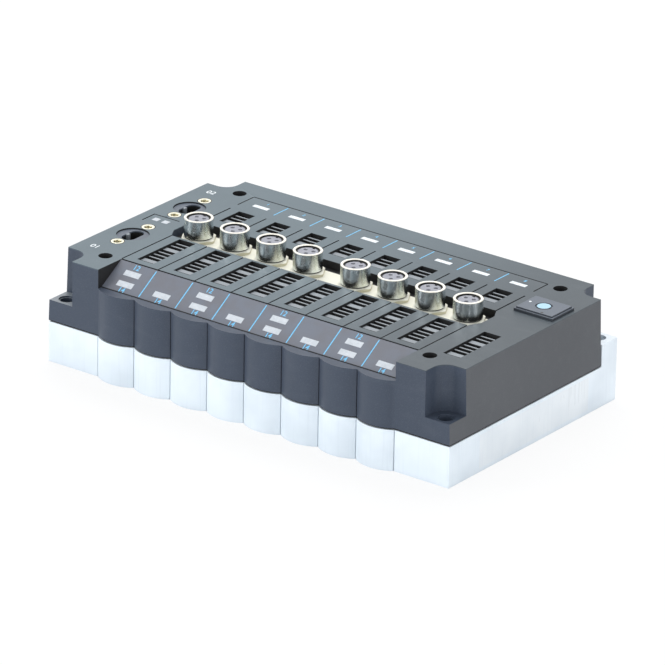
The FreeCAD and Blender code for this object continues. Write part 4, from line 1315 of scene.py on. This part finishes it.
    def blades(self) -> bpy.types.Object:
        """Build the blades that cut the joints, the label's foot and the cusps.

        Returns:
            The blades as one object.
        """
        half = self.joint_width / 2
        depth = Vector((0, 0, self.joint_depth))
        shape = Shape().use(Skin.JOINT)
        for start, end in self.joints():
            lengthwise = abs(end.y - start.y) > abs(end.x - start.x)
            across = Vector((half, 0, 0)) if lengthwise else Vector((0, half, 0))
            shape.block(start - across - depth, end + across + depth)
        width = LAYOUT.slices * LAYOUT.pitch / MM
        slope = LAYOUT.label_slope / MM
        room = Vector((0, half, self.joint_depth * 0.7))
        shape.block(
            LAYOUT.on_label(0.05, slope) - room, LAYOUT.on_label(width - 0.05, slope) + room
        )
        narrow = Vector((self.cusp_groove / 2, self.cusp_groove, 0))
        foot = Vector((0, 0, LAYOUT.foot - LAYOUT.top - MM))
        crescent = Vector((0, 0, LAYOUT.label_drop + 0.3 * MM))
        for k in range(1, LAYOUT.slices):
            cusp = LAYOUT.at(k * LAYOUT.pitch / MM, -LAYOUT.fold_behind_cusps / MM)
            shape.block(cusp - narrow + foot, cusp + narrow - crescent)
        blades = bpy.data.objects.new("joint_blades", shape.mesh("joint_blades"))
        bpy.context.scene.collection.objects.link(blades)
        for look in SKIN_LOOKS.values():
            blades.data.materials.append(material(look))
        return blades

    def engrave(self, shell: bpy.types.Object) -> None:
        """Cut the joint lines into the shell.

        Args:
            shell: The cover's piece.
        """
        blades = self.blades()
        carve = shell.modifiers.new("joints", "BOOLEAN")
        carve.operation = "DIFFERENCE"
        carve.solver = "EXACT"
        carve.object = blades
        carve.material_mode = "INDEX"
        shell.modifiers.move(1, 0)
        graph = bpy.context.evaluated_depsgraph_get()
        carved = bpy.data.meshes.new_from_object(shell.evaluated_get(graph))
        for modifier in list(shell.modifiers):
            shell.modifiers.remove(modifier)
        shell.data = carved
        carved.set_sharp_from_angle(angle=Shape.SHARP)
        Shape.steady(shell)
        bpy.data.objects.remove(blades)
        log.info("cover_shell carved: %d faces", len(carved.polygons))

    def stripe(self, shape: Shape, start: Vector, end: Vector, width: float, lift: Vector) -> None:
        """Add a printed stripe between two points.

        Args:
            shape: The print.
            start: One end, on the surface.
            end: Other end, on the surface.
            width: Width in metres.
            lift: Outward normal of the surface.
        """
        along = (end - start).normalized()
        side = along.cross(lift).normalized() * width / 2
        ink = lift.normalized() * self.ink
        corners = [start - side, end - side, end + side, start + side]
        low = [shape.bm.verts.new(c - ink * 0.5) for c in corners]
        high = [shape.bm.verts.new(c + ink) for c in corners]
        shape.mark([shape.bm.faces.new(high)])
        shape.walls(low, high)

    def blue_print(self) -> None:
        """Print the light blue lines and digits."""
        shape = Shape()
        pitch = LAYOUT.pitch / MM
        off = LAYOUT.on_label(0, 0, 1) - LAYOUT.on_label(0, 0)
        up = Vector((0, 0, 1))
        turn = LAYOUT.label_turn()
        low_row, high_row = self.label_rows
        for x in (k * pitch for k in range(1, LAYOUT.slices)):
            ends = (LAYOUT.on_label(x, along) for along in self.line_ends)
            self.stripe(shape, *ends, self.line_width, off)
            ends = (LAYOUT.at(x, y) for y in self.rear_stripe_ends)
            self.stripe(shape, *ends, self.rear_line_width, up)
        aside, rear_y = self.rear_digit_spot
        for k in range(LAYOUT.slices):
            x, size, lift = (k + 0.5) * pitch, self.label_digits, self.ink_lift
            shape.words("14", size, LAYOUT.on_label(x, low_row, lift), turn)
            if k % 2 == 0:
                shape.words("12", size, LAYOUT.on_label(x, high_row, lift), turn)
            shape.words(str(k + 1), self.rear_digits, LAYOUT.at(x + aside, rear_y, lift))
        shape.piece("blue_print", [Look.BLUE_INK], "cover_plastic")

    def white_print(self) -> None:
        """Print the plain digits beside the two cable sockets."""
        shape = Shape()
        for text, x, y in self.socket_digit_spots:
            shape.words(text, self.socket_digits, LAYOUT.at(x, y, self.ink_lift))
        shape.piece("white_print", [Look.WHITE_INK], "cover_plastic")


@dataclass
class LampWindows:
    """Milky windows on the label face, along the rear edge and beside the sockets."""

    edge: float = 0.12 * MM
    lip: float = 0.05 * MM
    lip_edge: float = 0.02 * MM
    front_lip: Point = (5.9, 2.05)
    status_grow: float = 0.22 * MM
    status_end: float = 50 * MM

    def build(self) -> None:
        """Build the windows."""
        looks = {"front_lamp_windows": Look.LAMP, "top_lamp_windows": Look.PAINTED_GLOW_LAMP}
        for node, look in looks.items():
            shape = Shape().take_node(node).round_edges(self.edge)
            shape.piece(f"{node}_clear", [look], "lamp_plastic", node)
        self.lips()

    def spots(self, node: str) -> list[tuple[Vector, Vector]]:
        """Find the corners of the separate blocks of a node.

        Args:
            node: The CAD node.

        Returns:
            Lowest and highest corner of each block.
        """
        part = Shape().take_node(node).bm
        left, found = set(part.verts), []
        while left:
            todo, group = [left.pop()], []
            while todo:
                vert = todo.pop()
                group.append(vert.co.copy())
                for edge in vert.link_edges:
                    other = edge.other_vert(vert)
                    if other in left:
                        left.remove(other)
                        todo.append(other)
            found.append(corners_of(group))
        part.free()
        return found

    def lips(self) -> None:
        """Build the thin lips that frame the windows on the cover's skin."""
        shape = Shape()
        turn = LAYOUT.label_turn()
        start = LAYOUT.on_label(0, 0)
        down = (LAYOUT.on_label(0, 1) - start).normalized()
        wide, broad = (size * MM / 2 for size in self.front_lip)
        corners = [(-wide, -broad), (wide, -broad), (wide, broad), (-wide, broad)]
        for low, high in self.spots("front_lamp_windows"):
            middle = (low + high) / 2
            at = Vector((middle.x, start.y, start.z)) + down * (middle - start).dot(down)
            shape.plate([corners], -self.lip_edge, self.lip, at, turn, self.lip_edge)
        grow = Vector((self.status_grow, self.status_grow, 0))
        for low, high in self.spots("top_lamp_windows"):
            if high.y < LAYOUT.fold + self.status_end:
                low.z, high.z = LAYOUT.top - self.lip_edge, LAYOUT.top + self.lip
                shape.block(low - grow, high + grow)
        shape.piece("lamp_lips", [Look.LAMP], "lamp_plastic")


def corners_of(spots: Sequence[Vector]) -> tuple[Vector, Vector]:
    """Find the lowest and highest corner round some points.

    Args:
        spots: The points.

    Returns:
        Lowest and highest corner.
    """
    low = Vector(min(spot[i] for spot in spots) for i in range(3))
    high = Vector(max(spot[i] for spot in spots) for i in range(3))
    return low, high


@dataclass
class SensorSockets:
    """Eight turned sockets with hexagon flanges and contact inserts."""

    carrier_z: float = -2.2 * MM
    carrier_face: float = 0.36 * MM
    carrier_edge: float = 0.12 * MM
    rim_z: float = 5.2 * MM
    shank_z: float = -8.0 * MM
    bore: float = 3.72 * MM
    collar: float = 4.6 * MM
    shank: float = 4.1 * MM
    groove: float = 0.25 * MM
    flats: float = 10.2 * MM
    hexagon: float = 1.1 * MM
    corner: float = 5.62 * MM
    chamfer: float = 0.16 * MM
    insert: float = 3.12 * MM
    insert_sink: float = 0.5 * MM
    insert_plate: float = 1.6 * MM
    insert_edge: float = 0.06 * MM
    key_half: float = 0.5 * MM
    key_depth: float = 0.6 * MM
    ring_sink: float = 0.09 * MM
    contact: float = 0.68 * MM
    contact_sink: float = 0.5 * MM
    contact_ring: float = 1.65 * MM
    contact_angles: tuple[float, ...] = (152.0, 35.0, 285.0)

    def build(self) -> None:
        """Build every socket, the inserts and the carrier."""
        inserts = Shape()
        for number in range(1, LAYOUT.slices + 1):
            name = f"sensor_socket_{number}"
            at = middle_of(name)
            at.z = LAYOUT.top
            self.collar_piece(name, at)
            self.hexagon_piece(name, at)
            self.insert_part(inserts, at)
        looks = [Look.INSERT, Look.BLACK_AND_SHADE, Look.BRASS]
        inserts.piece("contact_insert_set", looks, "insert_plastic", "contact_inserts")
        carrier = Shape().take_node("connector_carrier").round_edges(self.carrier_edge)
        for face in carrier.bm.faces:
            face_z = LAYOUT.top + self.carrier_z - self.carrier_face
            face.material_index = 0 if face.calc_center_median().z > face_z else 1
        looks = [Look.CARRIER, Look.SHADE]
        carrier.piece("carrier_plate", looks, "carrier_plastic", "connector_carrier")

    def collar_piece(self, name: str, at: Vector) -> None:
        """Build one collar with its shank.

        Args:
            name: The socket's node.
            at: Its axis at the cover's top.
        """
        c = self.chamfer
        foot = self.carrier_z + self.hexagon
        neck = self.collar - self.groove
        body = [
            (self.bore, self.shank_z),
            (self.shank - c, self.shank_z),
            (self.shank, self.shank_z + c),
            (self.shank, self.carrier_z),
        ]
        groove = [
            (self.shank, self.carrier_z),
            (neck, self.carrier_z + 0.02 * MM),
            (neck, foot + 0.30 * MM),
            (self.collar - 0.03 * MM, foot + 0.36 * MM),
        ]
        wall = [groove[-1], (self.collar, foot + 0.42 * MM), (self.collar, self.rim_z - c)]
        rim = [
            (self.collar, self.rim_z - c),
            (self.collar - c, self.rim_z),
            (self.bore + c, self.rim_z),
            (self.bore, self.rim_z - c),
        ]
        inside = [rim[-1], (self.bore, self.shank_z)]
        shape = Shape().lathe(body, at).lathe(wall, at).use(1).lathe(rim, at)
        # Painted shade: the bore and the groove at the collar's foot are black.
        shape.use(2).lathe(inside, at).lathe(groove, at)
        bmesh.ops.remove_doubles(shape.bm, verts=shape.bm.verts, dist=1e-6)
        looks = [Look.NICKEL, Look.RIM, Look.BLACK_AND_SHADE]
        shape.piece(f"{name}_collar", looks, "socket_nickel", name)

    def hexagon_piece(self, name: str, at: Vector) -> None:
        """Build the hexagon flange of one socket, its corners turned off.

        Args:
            name: The socket's node.
            at: Its axis at the cover's top.
        """
        steps, rings = 96, []
        inner = self.collar - 0.24 * MM
        crown = self.flats / 2 - 0.05 * MM
        foot, top = self.carrier_z, self.carrier_z + self.hexagon
        shape = Shape()
        for step in range(steps):
            angle = math.tau * step / steps
            part = angle % (math.pi / 3) - math.pi / 6
            side = min(self.flats / 2 / math.cos(part), self.corner)
            lowered = top - 0.14 * MM - max(0.0, side - crown) * 0.35
            spots = [(inner, foot), (side, foot), (side, lowered), (crown, top), (inner, top)]
            x, y = math.cos(angle), math.sin(angle)
            rings.append([shape.bm.verts.new(at + Vector((r * x, r * y, h))) for r, h in spots])
        # Painted shade: the top and its chamfer take the carrier's cream, the other faces its
        # shaded copy.
        for ring, following in zip(rings, [*rings[1:], rings[0]]):
            for j in range(len(ring)):
                n = (j + 1) % len(ring)
                made = shape.bm.faces.new((ring[j], following[j], following[n], ring[n]))
                made.material_index = 0 if j in (2, 3) else 1
        shape.piece(f"{name}_flange", [Look.CARRIER, Look.FLANGE_SHADE], "carrier_plastic")

    def insert_part(self, shape: Shape, at: Vector) -> None:
        """Add one contact insert to the set.

        Args:
            shape: The set.
            at: The socket's axis at the cover's top.
        """
        top = self.rim_z - self.insert_sink
        foot = top - self.insert_plate
        angles = [math.radians(degrees) for degrees in self.contact_angles]
        spots = [Vector((math.cos(a), math.sin(a), 0)) * self.contact_ring for a in angles]
        holes = [circle_points(self.contact, (spot.x, spot.y), 20) for spot in spots]
        half, outer = self.key_half, circle_points(self.insert, steps=56)
        notched = [p for p in outer if not (abs(p[0]) < half and p[1] > 0)]
        mouth, floor = self.insert - 0.1 * MM, self.insert - self.key_depth
        key = [(half, mouth), (half, floor), (-half, floor), (-half, mouth)]
        ahead = [p for p in notched if math.atan2(p[1], p[0]) % math.tau < math.pi / 2]
        behind = [p for p in notched if p not in ahead]
        outline = ahead + key + behind
        shape.use(0).plate([outline, *holes], foot, top, at, edge=self.insert_edge)
        # Painted shade: a black disc under the insert and a black ring in the gap at its top.
        below = foot - 0.02 * MM
        shape.use(1).lathe([(0, below), (self.insert, below)], at, steps=40)
        ring = top - self.ring_sink
        shape.lathe([(self.insert - 0.02 * MM, ring), (self.bore, ring)], at, steps=48)
        skirt = [(self.insert, foot), (self.insert, self.shank_z), (0, self.shank_z)]
        shape.use(0).lathe(skirt, at, steps=40)
        outer_r, inner_r, face = self.contact * 0.98, self.contact * 0.6, top - self.contact_sink
        sleeve = [(outer_r, foot), (outer_r, face), (inner_r, face), (inner_r, foot)]
        shape.use(2)
        for spot in spots:
            shape.lathe(sleeve, at + spot, steps=20)


@dataclass
class CableSockets:
    """Two oval sockets with flat contacts and their four brass inserts."""

    disc: float = 5.15 * MM
    disc_clear: float = 0.02 * MM
    face_plate: float = 0.5 * MM
    face_edge: float = 0.06 * MM
    side_top: float = 0.9 * MM
    mouth_width: float = 4.5 * MM
    mouth_length: float = 8.4 * MM
    mouth_depth: float = 5.2 * MM
    mouth_clear: float = 0.02 * MM
    key: Point = (0.85 * MM, 1.2 * MM)
    contact: Spot = (0.35 * MM, 0.4 * MM, 2.2 * MM)
    insert_outer: float = 2.3 * MM
    insert_face: float = 2.12 * MM
    insert_bore: float = 1.25 * MM
    insert_length: float = 4.4 * MM
    insert_ring: float = 0.012 * MM
    thread_pitch: float = 0.5 * MM
    thread_depth: float = 0.12 * MM
    thread_start: float = 0.1 * MM

    def build(self) -> None:
        """Build both sockets and the brass inserts."""
        for node in ("power_socket", "bus_socket"):
            self.socket(node)
        self.inserts()

    def socket(self, node: str) -> None:
        """Build one socket.

        Args:
            node: The CAD node that it replaces.
        """
        low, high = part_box(node)
        at, top = Vector(((low.x + high.x) / 2, (low.y + high.y) / 2, 0)), high.z
        width, length, floor = self.mouth_width, self.mouth_length, top - self.mouth_depth
        face = [circle_points(self.disc - self.disc_clear, steps=72), oval_points(width, length)]
        side = self.disc - 0.01 * MM
        shape = Shape().plate(face, top - self.face_plate, top, at, edge=self.face_edge)
        # Painted shade on the seat's side wall; the mouth's walls and floor take the same black.
        shape.use(1).lathe([(side, top - self.side_top), (side, low.z), (0, low.z)], at)
        inner = oval_points(width + self.mouth_clear, length + self.mouth_clear)
        rim = [shape.bm.verts.new(at + Vector((x, y, top - 0.3 * MM))) for x, y in inner]
        foot = [shape.bm.verts.new(at + Vector((x, y, floor))) for x, y in inner]
        shape.mark([shape.bm.faces.new(foot)])
        shape.walls(rim, foot)
        # Key on the mouth's left wall and the three flat contacts.
        wall = at + Vector((-width / 2 - 0.02 * MM, 0, 0))
        reach_in, half_key = self.key[0], self.key[1] / 2
        key_foot = wall + Vector((0, -half_key, floor))
        # The key takes the lighter grey plastic: painted light.
        shape.use(3).block(key_foot, wall + Vector((reach_in, half_key, top - 0.03 * MM)))
        half_x, half_y, height = self.contact
        half = Vector((half_x, half_y, 0))
        shape.use(2)
        for k in (-1, 0, 1):
            spot = at + Vector((0, (length - width) / 2 * k, floor))
            shape.block(spot - half, spot + half + Vector((0, 0, height)))
        looks = [Look.CAP, Look.BLACK_AND_SHADE, Look.TIE, Look.LIT_GREY]
        shape.piece(f"{node}_body", looks, "cable_socket_plastic", node)

    def inserts(self) -> None:
        """Build the threaded brass inserts."""
        shape = Shape()
        bore, outer, face = self.insert_bore, self.insert_outer, self.insert_face
        start, foot = -self.thread_start, -self.insert_length
        body = [
            (bore, foot),
            (outer - 0.12 * MM, foot),
            (face, -0.12 * MM),
            (face - 0.08 * MM, 0.02 * MM),
            (bore + 0.1 * MM, 0.02 * MM),
            (bore, start),
        ]
        thread = [(bore, start)]
        for k in range(int((self.insert_length - 0.6 * MM) / self.thread_pitch)):
            turn = start - k * self.thread_pitch
            thread.append((bore - self.thread_depth, turn - self.thread_pitch / 2))
            thread.append((bore, turn - self.thread_pitch))
        thread.append((bore, foot))
        ring = [(outer, self.insert_ring), (face - 0.1 * MM, self.insert_ring)]
        for mount in frame["record"]["mounts"]:
            if mount["kind"] != "bolt_pattern" or mount["dims"]["count"] != 2:
                continue
            x, y, _ = mount["pos_m"]
            for side in (-1, 1):
                reach = side * mount["dims"]["spacing_y_mm"] * MM / 2
                at = Vector((x, y + reach, LAYOUT.top))
                for index, profile in enumerate((body, thread, ring)):
                    shape.use(index).lathe(profile, at, steps=48)
        looks = [Look.BRASS, Look.THREAD_BRASS, Look.SHADE]
        shape.piece("brass_inserts", looks, "brass", "threaded_inserts")


@dataclass
class InterfaceCap:
    """Cap on the right end with a round lens and two small marks."""

    edge: float = 0.18 * MM
    crown: float = 0.02
    # Offset, radius and height of rim and foot, all in millimetres, and steps round.
    marks: tuple[tuple[Point, Point, Point, int], ...] = (
        ((0.0, 0.0), (2.05, 0.015), (2.12, -0.05), 64),
        ((-5.2, 0.3), (0.42, 0.01), (0.45, -0.03), 24),
        ((2.5, -4.6), (0.45, 0.01), (0.5, -0.03), 24),
    )

    def build(self) -> None:
        """Build the cap and its marks."""
        shape = Shape().take_node("interface_cap").round_edges(self.edge)
        # Painted shade: faces that don't look up take the darker copy of the cap plastic.
        for face in shape.bm.faces:
            face.material_index = 0 if face.normal.z > 0.5 else 1
        looks = [Look.CAP, Look.CAP_SIDE_SHADE]
        shape.piece("interface_cap_lid", looks, "cap_plastic", "interface_cap")
        middle = middle_of("interface_cap")
        middle.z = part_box("interface_cap")[1].z
        marks = Shape()
        for index, ((x, y), rim, foot, steps) in enumerate(self.marks):
            profile = [(r * MM, h * MM) for r, h in ((0, self.crown), rim, foot)]
            marks.use(index).lathe(profile, middle + Vector((x, y, 0)) * MM, steps=steps)
        looks = [Look.PALE_BLUE, Look.WHITE_INK, Look.BLACK_AND_SHADE]
        marks.piece("cap_marks", looks, "cap_plastic")


@dataclass
class Screws:
    """Cover screws with hexagon recesses at the bottom of their wells."""

    head: float = 2.05 * MM
    head_length: float = 2.0 * MM
    head_edge: float = 0.12 * MM
    recess: float = 1.15 * MM
    recess_depth: float = 1.2 * MM
    shank: float = 1.05 * MM

    def build(self) -> None:
        """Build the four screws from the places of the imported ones."""
        shape = Shape()
        head, floor, under = self.head, -self.recess_depth, -self.head_length
        outlines = [circle_points(head, steps=48), circle_points(self.recess, steps=6)]
        for at, foot in self.places():
            body = [
                (0, floor), (head, floor), (head, under), (self.shank, under), (self.shank, foot),
                (0, foot),
            ]
            shape.plate(outlines, floor, 0.0, at, edge=self.head_edge).lathe(body, at, steps=32)
        shape.piece("cover_screw_set", [Look.SCREW], "screw_steel", "cover_screws")

    def places(self) -> list[tuple[Vector, float]]:
        """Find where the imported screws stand.

        Returns:
            Centre of each head's top and the depth of its shank under it.
        """
        groups: dict[tuple[bool, bool], list[Vector]] = {}
        for vert in frame["nodes"]["cover_screws"].data.vertices:
            groups.setdefault((vert.co.x > 0, vert.co.y > 0), []).append(vert.co)
        found = []
        for low, high in map(corners_of, groups.values()):
            at = Vector(((low.x + high.x) / 2, (low.y + high.y) / 2, high.z))
            found.append((at, low.z - high.z))
        return found


@dataclass
class Insides:
    """What the island holds inside: spools, springs, seals, solenoids, board."""

    wire: float = 0.28 * MM
    wire_clear: float = 0.98
    turns: int = 9
    steps_per_turn: int = 20
    steps_round: int = 8

    def build(self) -> None:
        """Dress the inner nodes and wind the return springs."""
        looks = {f"spool_{number}": Look.SPOOL for number in range(1, LAYOUT.slices + 1)}
        looks |= {node: Look.ARMATURE for node in frame["nodes"] if node.startswith("armature_")}
        looks |= {
            "bore_plugs": Look.PLUG_BRASS,
            "slice_seals": Look.RUBBER,
            "cover_seal": Look.RUBBER,
            "tie_screws": Look.TIE,
            "pilot_solenoids": Look.COIL,
            "circuit_board": Look.BOARD,
        }
        for node, look in looks.items():
            dress(node, look)
        for number in range(2, LAYOUT.slices + 1, 2):
            self.spring(f"return_spring_{number}", f"spool_{number}")

    def spring(self, node: str, spool: str) -> None:
        """Wind one return spring in the outline of its node.

        Args:
            node: The CAD node that it replaces.
            spool: The spool that presses it.
        """
        low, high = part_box(node)
        radius = (high.x - low.x) / 2 - self.wire
        x, z = (low.x + high.x) / 2, (low.z + high.z) / 2
        total = self.turns * self.steps_per_turn
        length = high.y - low.y - self.wire * 2
        thick = self.wire * self.wire_clear
        round_wire = [math.tau * j / self.steps_round for j in range(self.steps_round)]
        shape, rings = Shape(), []
        for k in range(total + 1):
            angle = math.tau * k / self.steps_per_turn
            out = Vector((math.cos(angle), 0, math.sin(angle)))
            middle = Vector((x, low.y + self.wire + length * k / total, z)) + out * radius
            spots = [out * math.cos(turn) + Vector((0, math.sin(turn), 0)) for turn in round_wire]
            rings.append([shape.bm.verts.new(middle + spot * thick) for spot in spots])
        for first, second in zip(rings, rings[1:]):
            shape.walls(first, second)
        shape.bm.faces.new(rings[0])
        shape.bm.faces.new(rings[-1])
        squeeze = (spool, Vector((0, low.y, 0)), Vector((0, high.y, 0)))
        shape.piece(f"{node}_coil", [Look.TIE], "spring_steel", node, squeeze)


# --------------------------------------------------------------------------
# Studio and camera
# --------------------------------------------------------------------------
@dataclass(frozen=True)
class Lamp:
    """A soft rectangular light."""

    name: str
    at: Spot
    size: Point
    power: float
    colour: Colour = (1.0, 1.0, 1.0)

    def build(self, aim: Vector) -> None:
        """Hang the lamp and aim it.

        Args:
            aim: The point that it shines at.
        """
        data = bpy.data.lights.new(self.name, "AREA")
        data.shape = "RECTANGLE"
        data.size, data.size_y = self.size
        data.energy = self.power
        data.color = self.colour
        obj = bpy.data.objects.new(self.name, data)
        obj.location = self.at
        obj.rotation_mode = "QUATERNION"
        obj.rotation_quaternion = (aim - Vector(self.at)).to_track_quat("-Z", "Y")
        bpy.context.scene.collection.objects.link(obj)


@dataclass
class Studio:
    """Pale floor, soft lights and the camera at the photograph's viewpoint."""

    floor_size: float = 8.0
    floor_drop: float = 0.02 * MM
    floor_colour: Colour = (0.86, 0.87, 0.88)
    floor_white: float = 0.86
    floor_gloss: float = 0.5
    sky: Colour = (0.93, 0.97, 1.0)
    sky_strength: float = 0.55
    white: Colour = (1.0, 1.0, 1.0)
    aim: Spot = (0, 0, 0.02)
    camera_at: Spot = (1.1039, -1.4893, 0.7935)
    azimuth: float = 36.515
    elevation: float = 22.752
    roll: float = 1.128
    focal_pixels: float = 6620.0
    image_pixels: float = 665.0
    sensor: float = 36.0
    clip: Point = (0.05, 50.0)
    lamps: tuple[Lamp, ...] = (
        Lamp("top_softbox", (-0.25, 0.45, 0.95), (0.9, 0.7), 9.0),
        Lamp("left_softbox", (-0.85, -0.9, 0.5), (0.6, 0.5), 5.4, (0.95, 0.98, 1.0)),
        Lamp("right_softbox", (1.3, 0.1, 0.5), (0.5, 0.5), 3.2, (0.97, 0.98, 1.0)),
        Lamp("front_strip", (-0.08, -1.0, 0.35), (0.05, 0.7), 1.9, (0.93, 0.97, 1.0)),
        Lamp("camera_strip", (0.8, -0.72, 0.3), (0.05, 0.7), 1.3, (0.93, 0.97, 1.0)),
    )

    def build(self) -> None:
        """Build floor, world, lamps and camera."""
        self.floor()
        self.world()
        for lamp in self.lamps:
            lamp.build(Vector(self.aim))
        self.camera()

    def floor(self) -> None:
        """Lay the floor, white to the camera apart from the soft shadow."""
        half, z = self.floor_size / 2, -self.floor_drop
        corners = [(-half, -half, z), (half, -half, z), (half, half, z), (-half, half, z)]
        mesh = bpy.data.meshes.new("floor")
        mesh.from_pydata(corners, [], [(0, 1, 2, 3)])
        obj = bpy.data.objects.new("floor", mesh)
        bpy.context.scene.collection.objects.link(obj)
        sh = Shader("floor_paper")
        lit = sh.surface(Base_Color=self.floor_colour, Roughness=0.9)
        glow = sh.node("ShaderNodeEmission", None, {"Color": self.white, "Strength": 1.0})
        seen = sh.ray("Camera") * self.floor_white + sh.ray("Glossy") * self.floor_gloss
        seen = seen + sh.ray("Transmission") * self.floor_white
        shown = sh.node("ShaderNodeMixShader", None, {0: seen, 1: lit, 2: glow})
        sh.close("ShaderNodeOutputMaterial", shown)
        mesh.materials.append(sh.material)

    def world(self) -> None:
        """Light the scene softly from all round; camera and gloss see white."""
        world = bpy.data.worlds.new("studio")
        bpy.context.scene.world = world
        world.use_nodes = True
        nodes = Nodes(world.node_tree)
        tints = ((self.sky, self.sky_strength), (self.white, 1.0))
        soft, white = (
            nodes.node("ShaderNodeBackground", None, {"Color": tint, "Strength": strength})
            for tint, strength in tints
        )
        seen = nodes.ray("Camera").either(nodes.ray("Glossy")).either(nodes.ray("Transmission"))
        shown = nodes.node("ShaderNodeMixShader", None, {0: seen, 1: soft, 2: white})
        nodes.close("ShaderNodeOutputWorld", shown)

    def camera(self) -> None:
        """Set the camera where the photograph was taken from."""
        azimuth, elevation = math.radians(self.azimuth), math.radians(self.elevation)
        forward = Vector((
            -math.sin(azimuth) * math.cos(elevation),
            math.cos(azimuth) * math.cos(elevation),
            -math.sin(elevation),
        ))
        right = forward.cross(Vector((0, 0, 1))).normalized()
        up = right.cross(forward)
        lean = math.radians(self.roll)
        across = right * math.cos(lean) + up * math.sin(lean)
        above = up * math.cos(lean) - right * math.sin(lean)
        turn = Matrix((across, above, -forward)).transposed().to_4x4()
        data = bpy.data.cameras.new("camera")
        data.sensor_width = self.sensor
        data.lens = self.focal_pixels / self.image_pixels * self.sensor
        data.clip_start, data.clip_end = self.clip
        obj = bpy.data.objects.new("camera", data)
        obj.matrix_world = Matrix.Translation(self.camera_at) @ turn
        bpy.context.scene.collection.objects.link(obj)
        bpy.context.scene.camera = obj


def main() -> None:
    """Build every sub-assembly in order."""
    logging.basicConfig(level=logging.INFO, format="%(name)s: %(message)s")
    bpy.context.scene.view_settings.view_transform = "Standard"
    for assembly in (
        BaseBlock(),
        CoverShell(),
        LampWindows(),
        SensorSockets(),
        CableSockets(),
        InterfaceCap(),
        Screws(),
        Insides(),
    ):
        assembly.build()
        log.info("%s done", type(assembly).__name__)
    Studio().build()


if __name__ == "__main__":
    main()
